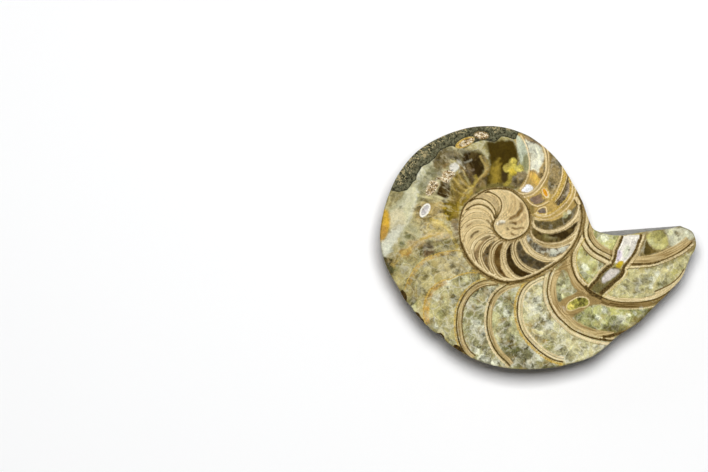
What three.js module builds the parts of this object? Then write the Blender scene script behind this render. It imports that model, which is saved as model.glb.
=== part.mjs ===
import * as THREE from 'three';

// One half of a fossil nautilus, sawn through the middle of its coil and polished flat.
// Millimetres, +Z up. The cut face is level and faces up, and the half lies on its flank.
// The broken open end of the shell points to +X. The origin is at the base, under the
// middle of the outline.

// Driving dimensions. A half width is the natural distance from the cut to the flank; the
// flank is worn flat where it would reach below the base.
const thickness = 24;
const coilCentre = new THREE.Vector2(-10.1, 8.5);
const umbilicusHeight = 10.5;
const firstHalfWidth = 17;
const lastHalfWidth = 24.3;
const growthPerHalfTurn = 1.5;

// The rim of the cut face, wound once round the coil, from the notch where the open end
// meets the coil to the tip of the open end. Each point is X and Y.
const rimPoints = [
  [19.6, 4.9], [17.6, 5.9], [16.4, 8.0], [15.2, 11.3], [14.2, 14.2], [12.8, 17.1],
  [10.4, 21.4], [7.0, 26.7], [3.4, 30.6], [-0.3, 33.6], [-4.1, 35.9], [-10.4, 38.0],
  [-16.5, 38.5], [-23.1, 37.7], [-31.0, 34.9], [-38.3, 30.4], [-43.7, 24.0], [-46.9, 17.6],
  [-49.1, 10.4], [-50.0, 3.5], [-49.1, -2.6], [-46.8, -8.3], [-44.1, -12.8], [-42.4, -16.0],
  [-40.2, -18.6], [-38.2, -21.4], [-35.7, -24.0], [-33.2, -26.4], [-30.6, -27.7],
  [-28.9, -29.7], [-24.7, -32.7], [-19.0, -35.7], [-12.0, -37.7], [-4.1, -38.5],
  [4.1, -38.0], [11.1, -36.5], [16.8, -34.6], [21.0, -31.7], [25.2, -28.0], [29.0, -25.5],
  [32.3, -23.2], [37.0, -18.4], [41.8, -13.7], [45.6, -9.2], [48.1, -3.2], [49.7, -0.4],
  [49.9, 2.3], [48.6, 5.2], [45.0, 6.9],
];

// The cut's edge along the broken end, from the notch to the tip, is dished a little, so
// that the broken end shows beyond it from above.
const brokenEdgePoints = [[23.2, 4.0], [26.6, 3.9], [29.4, 4.3], [35.4, 5.3], [41.5, 6.0]];

// The cross-section of the coil, as shares of the radius from the coil's centre to the rim:
// the flank is lowest from its inner to its outer shoulder, and rounds up to the rim.
const innerShoulder = 0.3;
const outerShoulder = 0.44;
const ventralRoundness = 2.3;

// Near the open end the sections bend back at the height of the coil that they cover.
const bendStart = 330;
const bendShare = 0.54;

const stepsPerRimPoint = 2;
const stepsAcross = 22;
const rimCrowding = 1.8;

function toVector(point) {
  return new THREE.Vector2(...point);
}

// The turn of a point about the coil's centre in degrees, counted on from the one before.
function turnAfter(point, before) {
  const out = point.clone().sub(coilCentre);
  let turn = THREE.MathUtils.radToDeg(Math.atan2(out.y, out.x));
  while (turn < before - 180) {
    turn += 360;
  }
  return turn;
}

const rim = new THREE.SplineCurve(rimPoints.map(toVector))
  .getPoints(stepsPerRimPoint * (rimPoints.length - 1));
const turns = [];
for (const point of rim) {
  turns.push(turnAfter(point, turns.length ? turns.at(-1) : 0));
}
const firstTurn = turns[0];
const lastTurn = turns.at(-1);
const lastBend = THREE.MathUtils.degToRad(lastTurn - firstTurn - 360);

// The half width of the whorl grows with the turn, up to the width at the open end.
function halfWidth(turn) {
  const growth = Math.pow(growthPerHalfTurn, (turn - firstTurn) / 180);
  return Math.min(firstHalfWidth * growth, lastHalfWidth);
}

// The depth below the cut face at a share of the way out from the coil's centre.
function depthAt(turn, share) {
  const width = halfWidth(turn);
  const middle = thickness - umbilicusHeight;
  let depth = width;
  if (share < innerShoulder) {
    depth = middle + (width - middle) * THREE.MathUtils.smoothstep(share, 0, innerShoulder);
  } else if (share > outerShoulder) {
    const out = (share - outerShoulder) / (1 - outerShoulder);
    depth = width * Math.pow(1 - Math.pow(out, ventralRoundness), 1 / ventralRoundness);
  }
  return Math.min(depth, thickness);
}

// The place in plan of a point of one section.
function planAt(rimPoint, turn, share) {
  const out = rimPoint.clone().sub(coilCentre);
  const bend = lastBend * Math.max(0, (turn - bendStart) / (lastTurn - bendStart));
  const rise = share < bendShare ? share / bendShare : (1 - share) / (1 - bendShare);
  const sideways = new THREE.Vector2(out.y, -out.x).multiplyScalar(Math.tan(bend) * bendShare * rise);
  return out.multiplyScalar(share).add(sideways).add(coilCentre);
}

const positions = [];
const triangles = [];

function addVertex(plan, z) {
  positions.push(plan.x, plan.y, z);
  return positions.length / 3 - 1;
}

// Shares are closer together at the rim, where the section curves most.
function shareAt(step) {
  return 1 - Math.pow(1 - step / stepsAcross, rimCrowding);
}

const middleVertex = addVertex(coilCentre, umbilicusHeight);
const sections = rim.map((rimPoint, index) => {
  const section = [middleVertex];
  for (let step = 1; step <= stepsAcross; step += 1) {
    const share = shareAt(step);
    const plan = planAt(rimPoint, turns[index], share);
    section.push(addVertex(plan, thickness - depthAt(turns[index], share)));
  }
  return section;
});

// The flank and the rounded outside, between each section and the next.
for (let index = 1; index < sections.length; index += 1) {
  const here = sections[index];
  const before = sections[index - 1];
  triangles.push(middleVertex, here[1], before[1]);
  for (let step = 1; step < stepsAcross; step += 1) {
    triangles.push(before[step], here[step], here[step + 1]);
    triangles.push(before[step], here[step + 1], before[step + 1]);
  }
}

// The cut face, inside the rim and the dished edge of the broken end.
const brokenEdge = brokenEdgePoints.map(toVector);
const brokenEdgeVertices = brokenEdge.map((point) => addVertex(point, thickness));
const faceOutline = [...rim, ...brokenEdge.slice().reverse()];
const faceVertices = [
  ...sections.map((section) => section[stepsAcross]),
  ...brokenEdgeVertices.slice().reverse(),
];
for (const [a, b, c] of THREE.ShapeUtils.triangulateShape(faceOutline, [])) {
  triangles.push(faceVertices[a], faceVertices[b], faceVertices[c]);
}

// The broken end, a wall between the first section with the cut's edge above it and the
// last section below it. It goes out along both, always with the nearer point next.
function distanceOut(vertex) {
  const [x, y] = positions.slice(3 * vertex, 3 * vertex + 2);
  return Math.hypot(x - coilCentre.x, y - coilCentre.y);
}

const tipVertex = sections.at(-1).at(-1);
const lower = sections.at(-1).slice(1, -1);
const upper = [...sections[0].slice(1), ...brokenEdgeVertices];
let below = 0;
let above = 0;
triangles.push(middleVertex, upper[0], lower[0]);
while (below < lower.length - 1 || above < upper.length - 1) {
  const outBelow = below < lower.length - 1 ? distanceOut(lower[below + 1]) : Infinity;
  const outAbove = above < upper.length - 1 ? distanceOut(upper[above + 1]) : Infinity;
  if (outBelow < outAbove) {
    triangles.push(upper[above], lower[below + 1], lower[below]);
    below += 1;
  } else {
    triangles.push(upper[above], upper[above + 1], lower[below]);
    above += 1;
  }
}
triangles.push(upper[above], tipVertex, lower[below]);

const geometry = new THREE.BufferGeometry();
geometry.setAttribute('position', new THREE.Float32BufferAttribute(positions, 3));
geometry.setIndex(triangles);
geometry.computeBoundingBox();
const middle = geometry.boundingBox.getCenter(new THREE.Vector3());
geometry.translate(-middle.x, -middle.y, -geometry.boundingBox.min.z);
geometry.computeVertexNormals();

const stone = new THREE.MeshStandardMaterial({ color: 0xa39a6a, roughness: 0.3, metalness: 0 });
const half = new THREE.Mesh(geometry, stone);
half.name = 'nautilus_half';

const model = new THREE.Group();
model.add(half);

export default model;
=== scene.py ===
"""One half of a fossil nautilus, sawn through its coil and polished, lying with the cut face up."""
import functools
import math

import bpy
import numpy as np
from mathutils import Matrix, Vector, noise
from mathutils.geometry import delaunay_2d_cdt


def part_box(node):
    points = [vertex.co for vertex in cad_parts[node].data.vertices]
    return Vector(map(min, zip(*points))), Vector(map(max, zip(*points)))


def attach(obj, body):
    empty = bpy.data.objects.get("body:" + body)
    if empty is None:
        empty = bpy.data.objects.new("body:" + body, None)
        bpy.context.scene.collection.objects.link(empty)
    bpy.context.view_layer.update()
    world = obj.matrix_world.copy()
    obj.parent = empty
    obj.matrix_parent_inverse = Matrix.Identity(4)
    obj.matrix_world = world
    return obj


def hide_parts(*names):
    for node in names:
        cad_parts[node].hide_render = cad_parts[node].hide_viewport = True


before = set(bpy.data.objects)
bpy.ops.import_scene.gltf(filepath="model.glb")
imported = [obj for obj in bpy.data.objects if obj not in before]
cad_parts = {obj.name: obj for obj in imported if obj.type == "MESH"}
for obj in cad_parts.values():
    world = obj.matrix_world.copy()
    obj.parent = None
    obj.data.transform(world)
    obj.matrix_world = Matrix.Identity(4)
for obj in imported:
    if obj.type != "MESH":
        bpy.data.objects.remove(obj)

NODE = "nautilus_half"
LOW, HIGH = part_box(NODE)
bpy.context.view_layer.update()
MM = 0.001
THICKNESS = HIGH.z / MM

# Places on the cut face are read from the photograph, in its pixels. These are the
# half's left, right and top edges there, which fit the pixels to the frame.
PHOTO_LEFT, PHOTO_RIGHT, PHOTO_TOP = 380.0, 696.0, 126.0
PHOTO_MIDDLE = (354.0, 236.0)
PHOTO_WIDTH = 708
PIXEL = (HIGH.x - LOW.x) / (PHOTO_RIGHT - PHOTO_LEFT)

ELLIPSE_POINTS = 10
# The least length that anything is divided by
TINY = 1e-9


def to_frame(points):
    """Photograph pixels to X and Y in the frame."""
    points = np.asarray(points, float)
    return np.stack([LOW.x + (points[..., 0] - PHOTO_LEFT) * PIXEL,
                     HIGH.y - (points[..., 1] - PHOTO_TOP) * PIXEL], axis=-1)


def to_photo(points):
    """X and Y in the frame to photograph pixels."""
    return np.stack([PHOTO_LEFT + (points[..., 0] - LOW.x) / PIXEL,
                     PHOTO_TOP + (HIGH.y - points[..., 1]) / PIXEL], axis=-1)


def smooth_curve(points, closed=False, steps=5):
    """A smooth curve through the points, with some steps between each two."""
    points = np.asarray(points, float)
    if closed:
        padded = np.concatenate([points[-1:], points, points[:2]])
    else:
        first, last = 2 * points[:1] - points[1:2], 2 * points[-1:] - points[-2:-1]
        padded = np.concatenate([first, points, last])
    before, start, end, after = [padded[i:len(padded) - 3 + i, None] for i in range(4)]
    t = (np.arange(steps) / steps)[None, :, None]
    curve = 0.5 * (2 * start + (end - before) * t
                   + (2 * before - 5 * start + 4 * end - after) * t ** 2
                   + (3 * start - before - 3 * end + after) * t ** 3)
    curve = curve.reshape(-1, 2)
    return curve if closed else np.concatenate([curve, points[-1:]])


def smooth_step(low, high, value):
    """From 0 at low to 1 at high, with soft ends."""
    t = np.clip((value - low) / (high - low), 0, 1)
    return t * t * (3 - 2 * t)


def linear(colour):
    """A colour given as 0 to 255 in sRGB, as linear light."""
    c = np.asarray(colour, float) / 255
    return np.where(c <= 0.04045, c / 12.92, ((c + 0.055) / 1.055) ** 2.4)


# The solid's shape in millimetres, the same as the CAD solid's
COIL_CENTRE = np.array([-10.1, 8.5])
UMBILICUS_HEIGHT = 10.5
FIRST_HALF_WIDTH, LAST_HALF_WIDTH = 17.0, 24.3
GROWTH_PER_HALF_TURN = 1.5
INNER_SHOULDER, OUTER_SHOULDER = 0.3, 0.44
VENTRAL_ROUNDNESS = 2.3
BEND_START, BEND_SHARE = 330.0, 0.54
RIM_POINTS = [
    (19.6, 4.9), (17.6, 5.9), (16.4, 8.0), (15.2, 11.3), (14.2, 14.2), (12.8, 17.1), (10.4, 21.4),
    (7.0, 26.7), (3.4, 30.6), (-0.3, 33.6), (-4.1, 35.9), (-10.4, 38.0), (-16.5, 38.5), (-23.1, 37.7),
    (-31.0, 34.9), (-38.3, 30.4), (-43.7, 24.0), (-46.9, 17.6), (-49.1, 10.4), (-50.0, 3.5),
    (-49.1, -2.6), (-46.8, -8.3), (-44.1, -12.8), (-42.4, -16.0), (-40.2, -18.6), (-38.2, -21.4),
    (-35.7, -24.0), (-33.2, -26.4), (-30.6, -27.7), (-28.9, -29.7), (-24.7, -32.7), (-19.0, -35.7),
    (-12.0, -37.7), (-4.1, -38.5), (4.1, -38.0), (11.1, -36.5), (16.8, -34.6), (21.0, -31.7),
    (25.2, -28.0), (29.0, -25.5), (32.3, -23.2), (37.0, -18.4), (41.8, -13.7), (45.6, -9.2),
    (48.1, -3.2), (49.7, -0.4), (49.9, 2.3), (48.6, 5.2), (45.0, 6.9),
]
BROKEN_EDGE_POINTS = [
    (19.6, 4.9), (23.2, 4.0), (26.6, 3.9), (29.4, 4.3), (35.4, 5.3), (41.5, 6.0), (45.0, 6.9),
]

# How finely the visible mesh is made: steps between two points of the rim and of the broken edge,
# steps from the coil's centre to the rim and how much they crowd there, rows of the broken end and
# how far its upper rows lean out
RIM_STEPS, BROKEN_EDGE_STEPS = 10, 8
STEPS_ACROSS, RIM_CROWDING = 40, 1.8
END_ROWS, END_LEAN = 10, 0.45

# The same on the cut face, in photograph pixels: the grid, the points along the drawn lines, and
# the least gaps beside the rim, between points of lines, and between those and the grid
FACE_SPACING, LINE_SPACING = 1.15, 0.8
LOOP_GAP, LINE_GAP, GRID_GAP = 0.35, 0.5, 0.4


def coil_sections():
    """The outside in millimetres: for each section, points from near the coil's centre to the rim."""
    rim = smooth_curve(RIM_POINTS, steps=RIM_STEPS)
    out = rim - COIL_CENTRE
    turns = np.degrees(np.unwrap(np.arctan2(out[:, 1], out[:, 0])))
    growth = GROWTH_PER_HALF_TURN ** ((turns - turns[0]) / 180)
    width = np.minimum(FIRST_HALF_WIDTH * growth, LAST_HALF_WIDTH)[:, None]
    share = 1 - (1 - np.arange(1, STEPS_ACROSS + 1) / STEPS_ACROSS)[None, :] ** RIM_CROWDING
    middle = THICKNESS - UMBILICUS_HEIGHT
    inner = middle + (width - middle) * smooth_step(0, INNER_SHOULDER, share)
    beyond = np.clip((share - OUTER_SHOULDER) / (1 - OUTER_SHOULDER), 0, 1)
    outer = width * (1 - beyond ** VENTRAL_ROUNDNESS) ** (1 / VENTRAL_ROUNDNESS)
    depth = np.minimum(np.where(share < INNER_SHOULDER, inner, outer), THICKNESS)
    last_bend = math.radians(turns[-1] - turns[0] - 360)
    bend = last_bend * np.clip((turns - BEND_START) / (turns[-1] - BEND_START), 0, None)
    rise = np.where(share < BEND_SHARE, share / BEND_SHARE, (1 - share) / (1 - BEND_SHARE))
    sideways = np.stack([out[:, 1], -out[:, 0]], axis=-1)
    lean = np.tan(bend)[:, None] * BEND_SHARE * rise
    plan = COIL_CENTRE + out[:, None] * share[..., None] + sideways[:, None] * lean[..., None]
    points = np.concatenate([plan, (THICKNESS - depth)[..., None]], axis=-1)
    return points, turns, np.broadcast_to(share, depth.shape)


def inside(points, loop):
    """Which points lie inside a closed loop."""
    result = np.zeros(len(points), bool)
    for (x1, y1), (x2, y2) in zip(loop, np.roll(loop, -1, axis=0)):
        if y1 != y2:
            crosses = (y1 > points[:, 1]) != (y2 > points[:, 1])
            result ^= crosses & (points[:, 0] < x1 + (points[:, 1] - y1) * (x2 - x1) / (y2 - y1))
    return result


def nearest(points, curve, closed=False):
    """For each point, how far it is to the right of the curve, along it, and past its ends.

    Right is the right-hand side, walking along the curve in the photograph.
    """
    starts = curve if closed else curve[:-1]
    steps = (np.roll(curve, -1, axis=0) if closed else curve[1:]) - starts
    lengths = np.maximum(np.hypot(*steps.T), TINY)
    covered = np.concatenate([[0], np.cumsum(lengths)])
    best = np.full(len(points), np.inf)
    right, along, past = np.zeros((3, len(points)))
    for index, (start, step, length) in enumerate(zip(starts, steps, lengths)):
        offset = points - start
        t = offset @ step / length ** 2
        kept = np.clip(t, 0, 1)
        distance = np.hypot(*(offset - kept[:, None] * step).T)
        side = (step[0] * offset[:, 1] - step[1] * offset[:, 0]) / length
        beyond = np.zeros(len(points))
        if not closed and index == 0:
            beyond = np.maximum(-t * length, 0)
        if not closed and index == len(starts) - 1:
            beyond = np.maximum((t - 1) * length, beyond)
        better = distance < best
        best = np.where(better, distance, best)
        right = np.where(better, np.where(beyond > 0, side, np.copysign(distance, side)), right)
        along = np.where(better, covered[index] + kept * length, along)
        past = np.where(better, beyond, past)
    return right, along, past


def ellipse(x, y, long_half, short_half, tilt=0.0):
    """Points round an ellipse in the photograph, tilted up to the right by some degrees."""
    turn = np.linspace(0, 2 * math.pi, ELLIPSE_POINTS, endpoint=False)
    lean = math.radians(tilt)
    along, across = long_half * np.cos(turn), short_half * np.sin(turn)
    return np.stack([x + along * math.cos(lean) + across * math.sin(lean),
                     y - along * math.sin(lean) + across * math.cos(lean)], axis=-1)


def offset_curve(points, offset, spacing):
    """Evenly spaced points along a curve, moved some way to its right."""
    curve = smooth_curve(points)
    steps = np.hypot(*np.diff(curve, axis=0).T)
    covered = np.concatenate([[0], np.cumsum(steps)])
    where = np.arange(0, covered[-1], spacing)
    even = np.stack([np.interp(where, covered, curve[:, axis]) for axis in range(2)], axis=-1)
    ahead = np.gradient(even, axis=0)
    ahead /= np.maximum(np.hypot(*ahead.T), TINY)[:, None]
    return even + offset * np.stack([-ahead[:, 1], ahead[:, 0]], axis=-1)


def thin_out(points, gap, others=None):
    """The points with no two in one cell of a grid, and none beside the others."""
    cells = np.floor(points / gap).astype(int)
    if others is not None:
        taken = {tuple(cell + step) for cell in np.floor(others / gap).astype(int)
                 for step in np.array([(x, y) for x in (-1, 0, 1) for y in (-1, 0, 1)])}
        free = np.array([tuple(cell) not in taken for cell in cells])
        points, cells = points[free], cells[free]
    _, first = np.unique(cells, axis=0, return_index=True)
    return points[np.sort(first)]


def clear_of(loop, points):
    """The points inside the loop that aren't right beside it."""
    return points[inside(points, loop) & (np.abs(nearest(points, loop, closed=True)[0]) > LOOP_GAP)]


def face_mesh(loop):
    """The cut face inside its loop of pixels: its points, triangles and which are on the loop."""
    walls = [*WALLS.values(), *TUBE_WALLS.values()]
    drawn = [(points, offset) for points, layers in walls for _, offset, _ in layers]
    drawn += [(points, 0) for _, _, points in STROKES]
    lines = np.concatenate([offset_curve(points, offset, LINE_SPACING) for points, offset in drawn])
    low, high = loop.min(axis=0), loop.max(axis=0)
    rows = np.arange(low[1], high[1], FACE_SPACING * math.sqrt(3) / 2)
    columns = np.arange(low[0], high[0], FACE_SPACING)
    grid = np.stack(np.meshgrid(columns, rows), axis=-1)
    grid[1::2, :, 0] += FACE_SPACING / 2
    grid = grid.reshape(-1, 2)
    lines = thin_out(clear_of(loop, lines), LINE_GAP)
    grid = thin_out(clear_of(loop, grid), GRID_GAP, lines)
    points = np.concatenate([loop, lines, grid])
    edges = [(i, (i + 1) % len(loop)) for i in range(len(loop))]
    vectors = [Vector(point) for point in points.tolist()]
    found, _, triangles, origins, _, _ = delaunay_2d_cdt(vectors, edges, [], 1, 1e-6)
    return np.array([tuple(v) for v in found]), triangles, origins


def septum(width):
    """The layers of a chamber wall of the inner coil."""
    return [("brown", 0, width + 1.3), ("cream", 0, width)]


def double_septum(gap):
    """The layers of a chamber wall that shows as two pale lines."""
    return [("brown", 0, gap + 2.6), ("cream", -gap / 2, 1.3), ("cream", gap / 2, 1.3)]


# What is drawn on the cut face, in photograph pixels. A wall is a line with layers beside it,
# each a kind of line, how far it is to the right of the wall's line, and how wide it is.
WALLS = {
    "septum j": ([(465, 252), (458, 250.5), (450, 251), (442, 252.5), (434, 255), (428, 257), (421, 262),
        (415, 268), (410, 276), (406.5, 284), (405, 290)], [("gold", 0, 1.5)]),
    "septum i": ([(478, 273), (468, 273), (458, 275.5), (450, 279), (441, 281), (434, 286), (429, 292),
        (425.5, 299), (424, 306), (423.5, 314), (425, 322), (427, 328)], [("gold", 0, 1.7)]),
    "septum i edge": ([(494, 276), (487, 273), (480, 271), (472, 270.5)], [("gold", 0, 1.2)]),
    "septum h": ([(497, 279.5), (490, 279.8), (483, 281), (476, 284), (470, 288.5), (465, 294), (461, 301),
        (458, 309), (456.8, 318), (456.5, 326), (457.5, 335), (459.5, 343), (463, 350), (467.5, 356),
        (472, 359.5)], [("tan", -3, 4), ("dark", -5.4, 0.6), ("gold", 2, 1.8), ("dark", 0, 1.0)]),
    "septum g": ([(519, 281.5), (512, 283), (505, 286), (498.5, 290.5), (493.5, 296), (490, 303),
        (487.8, 311), (487, 320), (487.3, 328), (489, 336), (492, 344), (496, 351), (501, 357), (506, 361.5),
        (510, 366)], [("tan", -3, 4.2), ("cream", 2.0, 2.2), ("dark", 0, 1.0)]),
    "septum f": ([(543, 275), (536, 278), (530, 281.5), (525, 286), (521, 292), (518.5, 299), (517.3, 307),
        (517.5, 315), (519, 323), (522, 331), (526.5, 338), (531, 343), (536, 348), (542, 353), (549, 357.5),
        (556, 360.5), (563, 362)], [("gold", 2.3, 2.6), ("cream", -3.2, 4.4), ("brown", -3.2, 0.7),
        ("dark", 0, 1.0)]),
    "septum e": ([(553.5, 268), (551, 272.5), (549.3, 277), (548.2, 282), (547.4, 288), (547.5, 294),
        (549, 301), (552, 308), (557, 315.5), (563, 321.5), (572, 329.3), (582, 334.3), (592, 337.8),
        (603, 340), (613.5, 341)], [("tan", -5.8, 7), ("cream", -2, 2), ("cream", 3, 3), ("brown", 4.8, 0.6),
        ("dark", 0, 1.2)]),
    "septum d": ([(603, 298), (609, 300.3), (616, 301.9), (625, 302.6), (635, 302.6), (645, 301.7),
        (655, 299.3), (663, 295.7), (670, 291), (676, 286)], [("brown", 3, 4.4), ("cream", 6.3, 1.2),
        ("cream", -2.6, 3.8), ("dark", 0, 1.1)]),
    "septum d end": ([(655, 291.5), (662, 288.5), (668, 285.5), (674, 281.5), (680, 275.5), (684, 269)],
        [("cream", 2, 2.8), ("dark", 0, 0.8)]),
    "septum c": ([(626, 267), (635, 266.5), (645, 266), (655, 264.4), (663, 261.8), (672, 258), (680, 254),
        (688, 248.6), (693, 244)], [("tan", -6, 8.6), ("cream", 0, 2.2), ("dark", -1.8, 0.9),
        ("brown", 1.7, 0.8)]),
    "septum c root": ([(624, 265), (632, 264.6), (642, 264.1), (652, 263.2), (658, 261.8)],
        [("dark", 0, 2)]),
    "septum a": ([(578, 196), (581.5, 202), (584, 208), (585, 215), (584.5, 222), (583.3, 229), (584, 237),
        (586.7, 243), (591, 248.7), (596.2, 253), (603.6, 257), (611, 261)], [("tan", -7.4, 5.5),
        ("cream", -2.8, 3.2), ("dark", -4.8, 0.8), ("cream", 3, 4), ("dark", 5.3, 0.6), ("dark", 0, 1.6)]),
    "chamber b wall": ([(580, 236), (576, 244), (573, 250), (571.8, 256), (571.5, 263), (573, 270),
        (575, 275.5), (577.7, 280), (581, 284), (585, 287.5), (589, 290)], [("tan", 3, 4),
        ("cream", -2.6, 3.4), ("gold", -5, 1.3), ("dark", 0, 1.6)]),
    "coil s13": ([(484, 270), (478, 265.5), (474, 259.5), (472, 253), (472.5, 247), (475.5, 241.5),
        (480, 237.5), (486, 234.5), (491, 233.5)], double_septum(2.0)),
    "coil s12": ([(497, 277.5), (490.5, 274), (485.5, 268.5), (482, 262), (480.5, 256), (481, 250),
        (484, 244.5), (488.5, 240.5), (493.5, 238.5)], double_septum(2.2)),
    "coil s11": ([(509, 280), (503, 278.5), (498, 275), (494, 269), (491.5, 262.5), (491, 256), (492, 250),
        (494.5, 245.5), (498.5, 242), (503, 240)], double_septum(2.4)),
    "coil s10": ([(530, 278), (523, 279.5), (516, 277.5), (510.5, 273), (506.5, 267.5), (504, 261),
        (503.2, 254.5), (504, 248.5), (507, 243.5), (511, 240.5)], septum(2.1)),
    "coil s9": ([(560, 262), (553, 267), (546, 271), (539, 272.5), (532, 271.5), (525, 268), (519, 262.5),
        (515.5, 256), (514, 249.5), (514.5, 243.5), (517, 239.5)], double_septum(2.4)),
    "coil s8": ([(577, 241), (573, 247), (568, 252), (562, 256), (555, 258.5), (548, 259), (541, 257.5),
        (534, 254), (529, 249), (525.5, 243.5), (524, 239)], septum(3.0)),
    "coil s7b": ([(580, 231), (576, 237.5), (571, 242), (565, 245), (558, 247), (551, 247.3), (544, 246),
        (538, 243), (533.5, 239), (530.5, 235)], [("brown", 0, 2.2), ("cream", 0, 1.2)]),
    "coil s7": ([(581, 222), (579, 228), (575.5, 233), (571, 237), (566, 240), (560, 242.5), (553, 243.5),
        (546, 243.5), (540, 241.5), (535, 238.5), (531.5, 234), (530.5, 229.5)], septum(1.6)),
    "coil s6": ([(579.5, 205), (578.5, 211), (576, 216.5), (572, 221.5), (567, 225.5), (561, 229),
        (555, 231), (549, 232), (543, 231), (537, 228.5), (533.5, 225), (532.5, 221)], septum(2.7)),
    "coil s5": ([(574, 183), (575.5, 190), (574, 197), (571, 203), (567, 208), (561, 213), (555, 217),
        (549, 219), (543, 219.5), (537, 218.5), (534, 217)], [("cream", 0, 1.4)]),
    "coil s4": ([(569, 173), (571.5, 180), (572.5, 187), (571.5, 194), (568, 200), (563, 205.5),
        (557, 210.5), (551, 214.5), (545, 216.5), (539, 216), (534, 213.5)], [("gold", 1.8, 2.4),
        ("cream", 0, 1.6)]),
    "coil s3": ([(562, 160), (562.6, 170), (562, 176), (560.5, 182), (558, 188), (555, 194), (551, 199)],
        [("gold", -2.4, 3.6), ("cream", 0, 1.4), ("cream", -5, 1.3), ("dark", -6, 0.5)]),
    "coil s2": ([(541, 143), (544, 148), (545.6, 153), (546.4, 159), (546.5, 165), (546, 170), (544.3, 176),
        (541, 182), (536.5, 188), (531, 192.3), (525, 194.2), (520, 193.6), (515, 190.6)], [("tan", -1.2, 5),
        ("cream", 0.4, 1.6), ("brown", -1.1, 0.7), ("cream", -2.5, 1.5)]),
    "coil s1": ([(521, 135), (524.5, 141.5), (527.3, 149), (529, 157), (529.6, 163), (529.2, 170),
        (528, 176), (525.5, 182), (523, 186), (520, 189)], [("cream", 0, 1.8), ("brown", -1.3, 0.5)]),
    "small chamber": ([(527, 199), (531, 203.5), (537, 206), (543, 204.5), (549, 201)], [("cream", 0, 1.5),
        ("brown", 1.3, 0.6)]),
    "small triangle": ([(536, 213), (539, 209), (545.5, 207), (546.5, 213.5), (541, 215), (537, 214)],
        [("cream", 0, 1.2)]),
    "outer edge of s4": ([(571, 172), (574, 178), (576, 185), (577.3, 192)], [("tan", 0, 2)]),
    "inner lobe 1": ([(497, 217), (499.5, 213), (501.5, 208), (501.5, 203), (500, 199), (497, 196),
        (493, 193.5), (489, 192.3), (485, 192.6)], [("cream", 1.9, 2.2), ("dark", 0, 0.9)]),
    "inner lobe 2": ([(496.5, 218), (496, 214), (495, 210), (493, 206.5), (490, 203.2), (486, 200.5),
        (482, 199), (478, 198.6), (474, 199.4), (470, 201.5)], [("cream", -1.8, 2.2), ("dark", 0, 1.0)]),
    "inner lobe 3": ([(495, 219), (493, 213.5), (490.5, 209.5), (487, 206.7), (483, 205), (479, 204.4),
        (475, 205), (471, 206.5), (466, 210)], [("cream", -1.7, 1.8), ("dark", 0, 1.1)]),
    "inner lobe 4": ([(493.5, 222), (492, 218), (490, 215), (487, 212), (483, 209.7), (478, 208.4),
        (472, 209), (466, 212), (462.5, 217)], [("cream", -2.6, 1.6), ("brown", 0, 0.9)]),
    "inner lobe 4b": ([(492.5, 221), (488.5, 216), (484, 213.2), (478, 212), (472, 213), (466, 216.5),
        (462, 221)], [("brown", 0, 0.8)]),
    "inner lobe 5": ([(494, 229), (492.5, 226), (490, 223), (487, 220.5), (482, 218.8), (476, 218.2),
        (470, 219.8), (464.5, 223.5), (461.5, 228)], [("cream", -1.6, 1.6), ("brown", 0, 0.9)]),
    "inner lobe 6": ([(494, 231), (491, 229), (488, 227), (484, 225.6), (478, 225.4), (473, 227),
        (468.5, 230.5), (465, 235.5), (464, 240)], [("cream", -1.6, 1.5), ("brown", 0, 0.9)]),
    "inner lobe 7": ([(496, 234.2), (491, 233.4), (486, 233.6), (481, 235.3), (477, 238), (473, 242),
        (470, 248)], [("cream", -1.5, 1.8), ("brown", 0, 1.0)]),
    "inner lobe 8": ([(497, 214), (498.5, 208), (498, 202), (495.5, 198), (491.5, 195.2)],
        [("brown", 0, 0.8)]),
    "inner lobe 9": ([(503, 215), (507.5, 210.5), (509.5, 205), (509, 199.5), (506, 194.5), (502, 191)],
        [("tan", 0, 1.0)]),
    "inner lobe 10": ([(506, 215.5), (511, 211), (513.5, 206), (513.7, 200.5), (511.5, 195)],
        [("tan", 0, 1.2)]),
    "inner lobe 11": ([(508, 217.5), (514, 213), (517.5, 208), (518.3, 202), (516.5, 196.5)],
        [("tan", 0, 1.4)]),
    "outer whorl by the lobes": ([(463.5, 249), (461.3, 242), (460.2, 235), (459.9, 229), (460.2, 222),
        (461.2, 215), (463.5, 208.5), (467, 203.3), (471, 199.8), (476, 196.6), (481, 193.2), (486, 190.6),
        (491, 189.4), (497, 188.8), (503, 189)], [("brown", -0.4, 2.4), ("dark", -0.3, 0.7)]),
    "outer whorl": ([(580.5, 205), (581.8, 212), (581.8, 220), (580.5, 228), (578.5, 235), (575.5, 241.5),
        (572, 247.5), (567.5, 253), (561, 260), (553, 265), (545, 270), (537, 274.5), (529, 278),
        (521, 280.5), (513, 281.8), (505, 282), (498, 280.3), (491, 277.3), (484, 273.3), (477.5, 268.5),
        (471.5, 262.5), (467, 256), (463.5, 249), (461.5, 243)], [("brown", -0.8, 5.0), ("cream", 2.4, 1.7),
        ("dark", 0, 1.4)]),
    "inner whorl": ([(503, 189), (508, 189.8), (511.5, 191), (515.5, 193.5), (520, 197.5), (523.8, 201.5),
        (526.5, 206), (528.4, 211), (529.4, 216), (529.9, 221), (529.3, 226), (527, 230.7), (523.5, 234.2),
        (519, 237), (514, 239), (509, 239.8), (504, 239), (500, 236.5), (496.5, 233), (494, 229.5),
        (493, 225), (494.5, 221)], [("brown", -1.6, 2.4), ("cream", 1.7, 1.6), ("dark", 0, 1.1)]),
}

# The layers round the pocket, and the darker line along the rim
POCKET_LAYERS = [("cream", 0, 1.1)]
RIM_COLOUR, RIM_WIDTH = (86, 80, 44), 1.5

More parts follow.
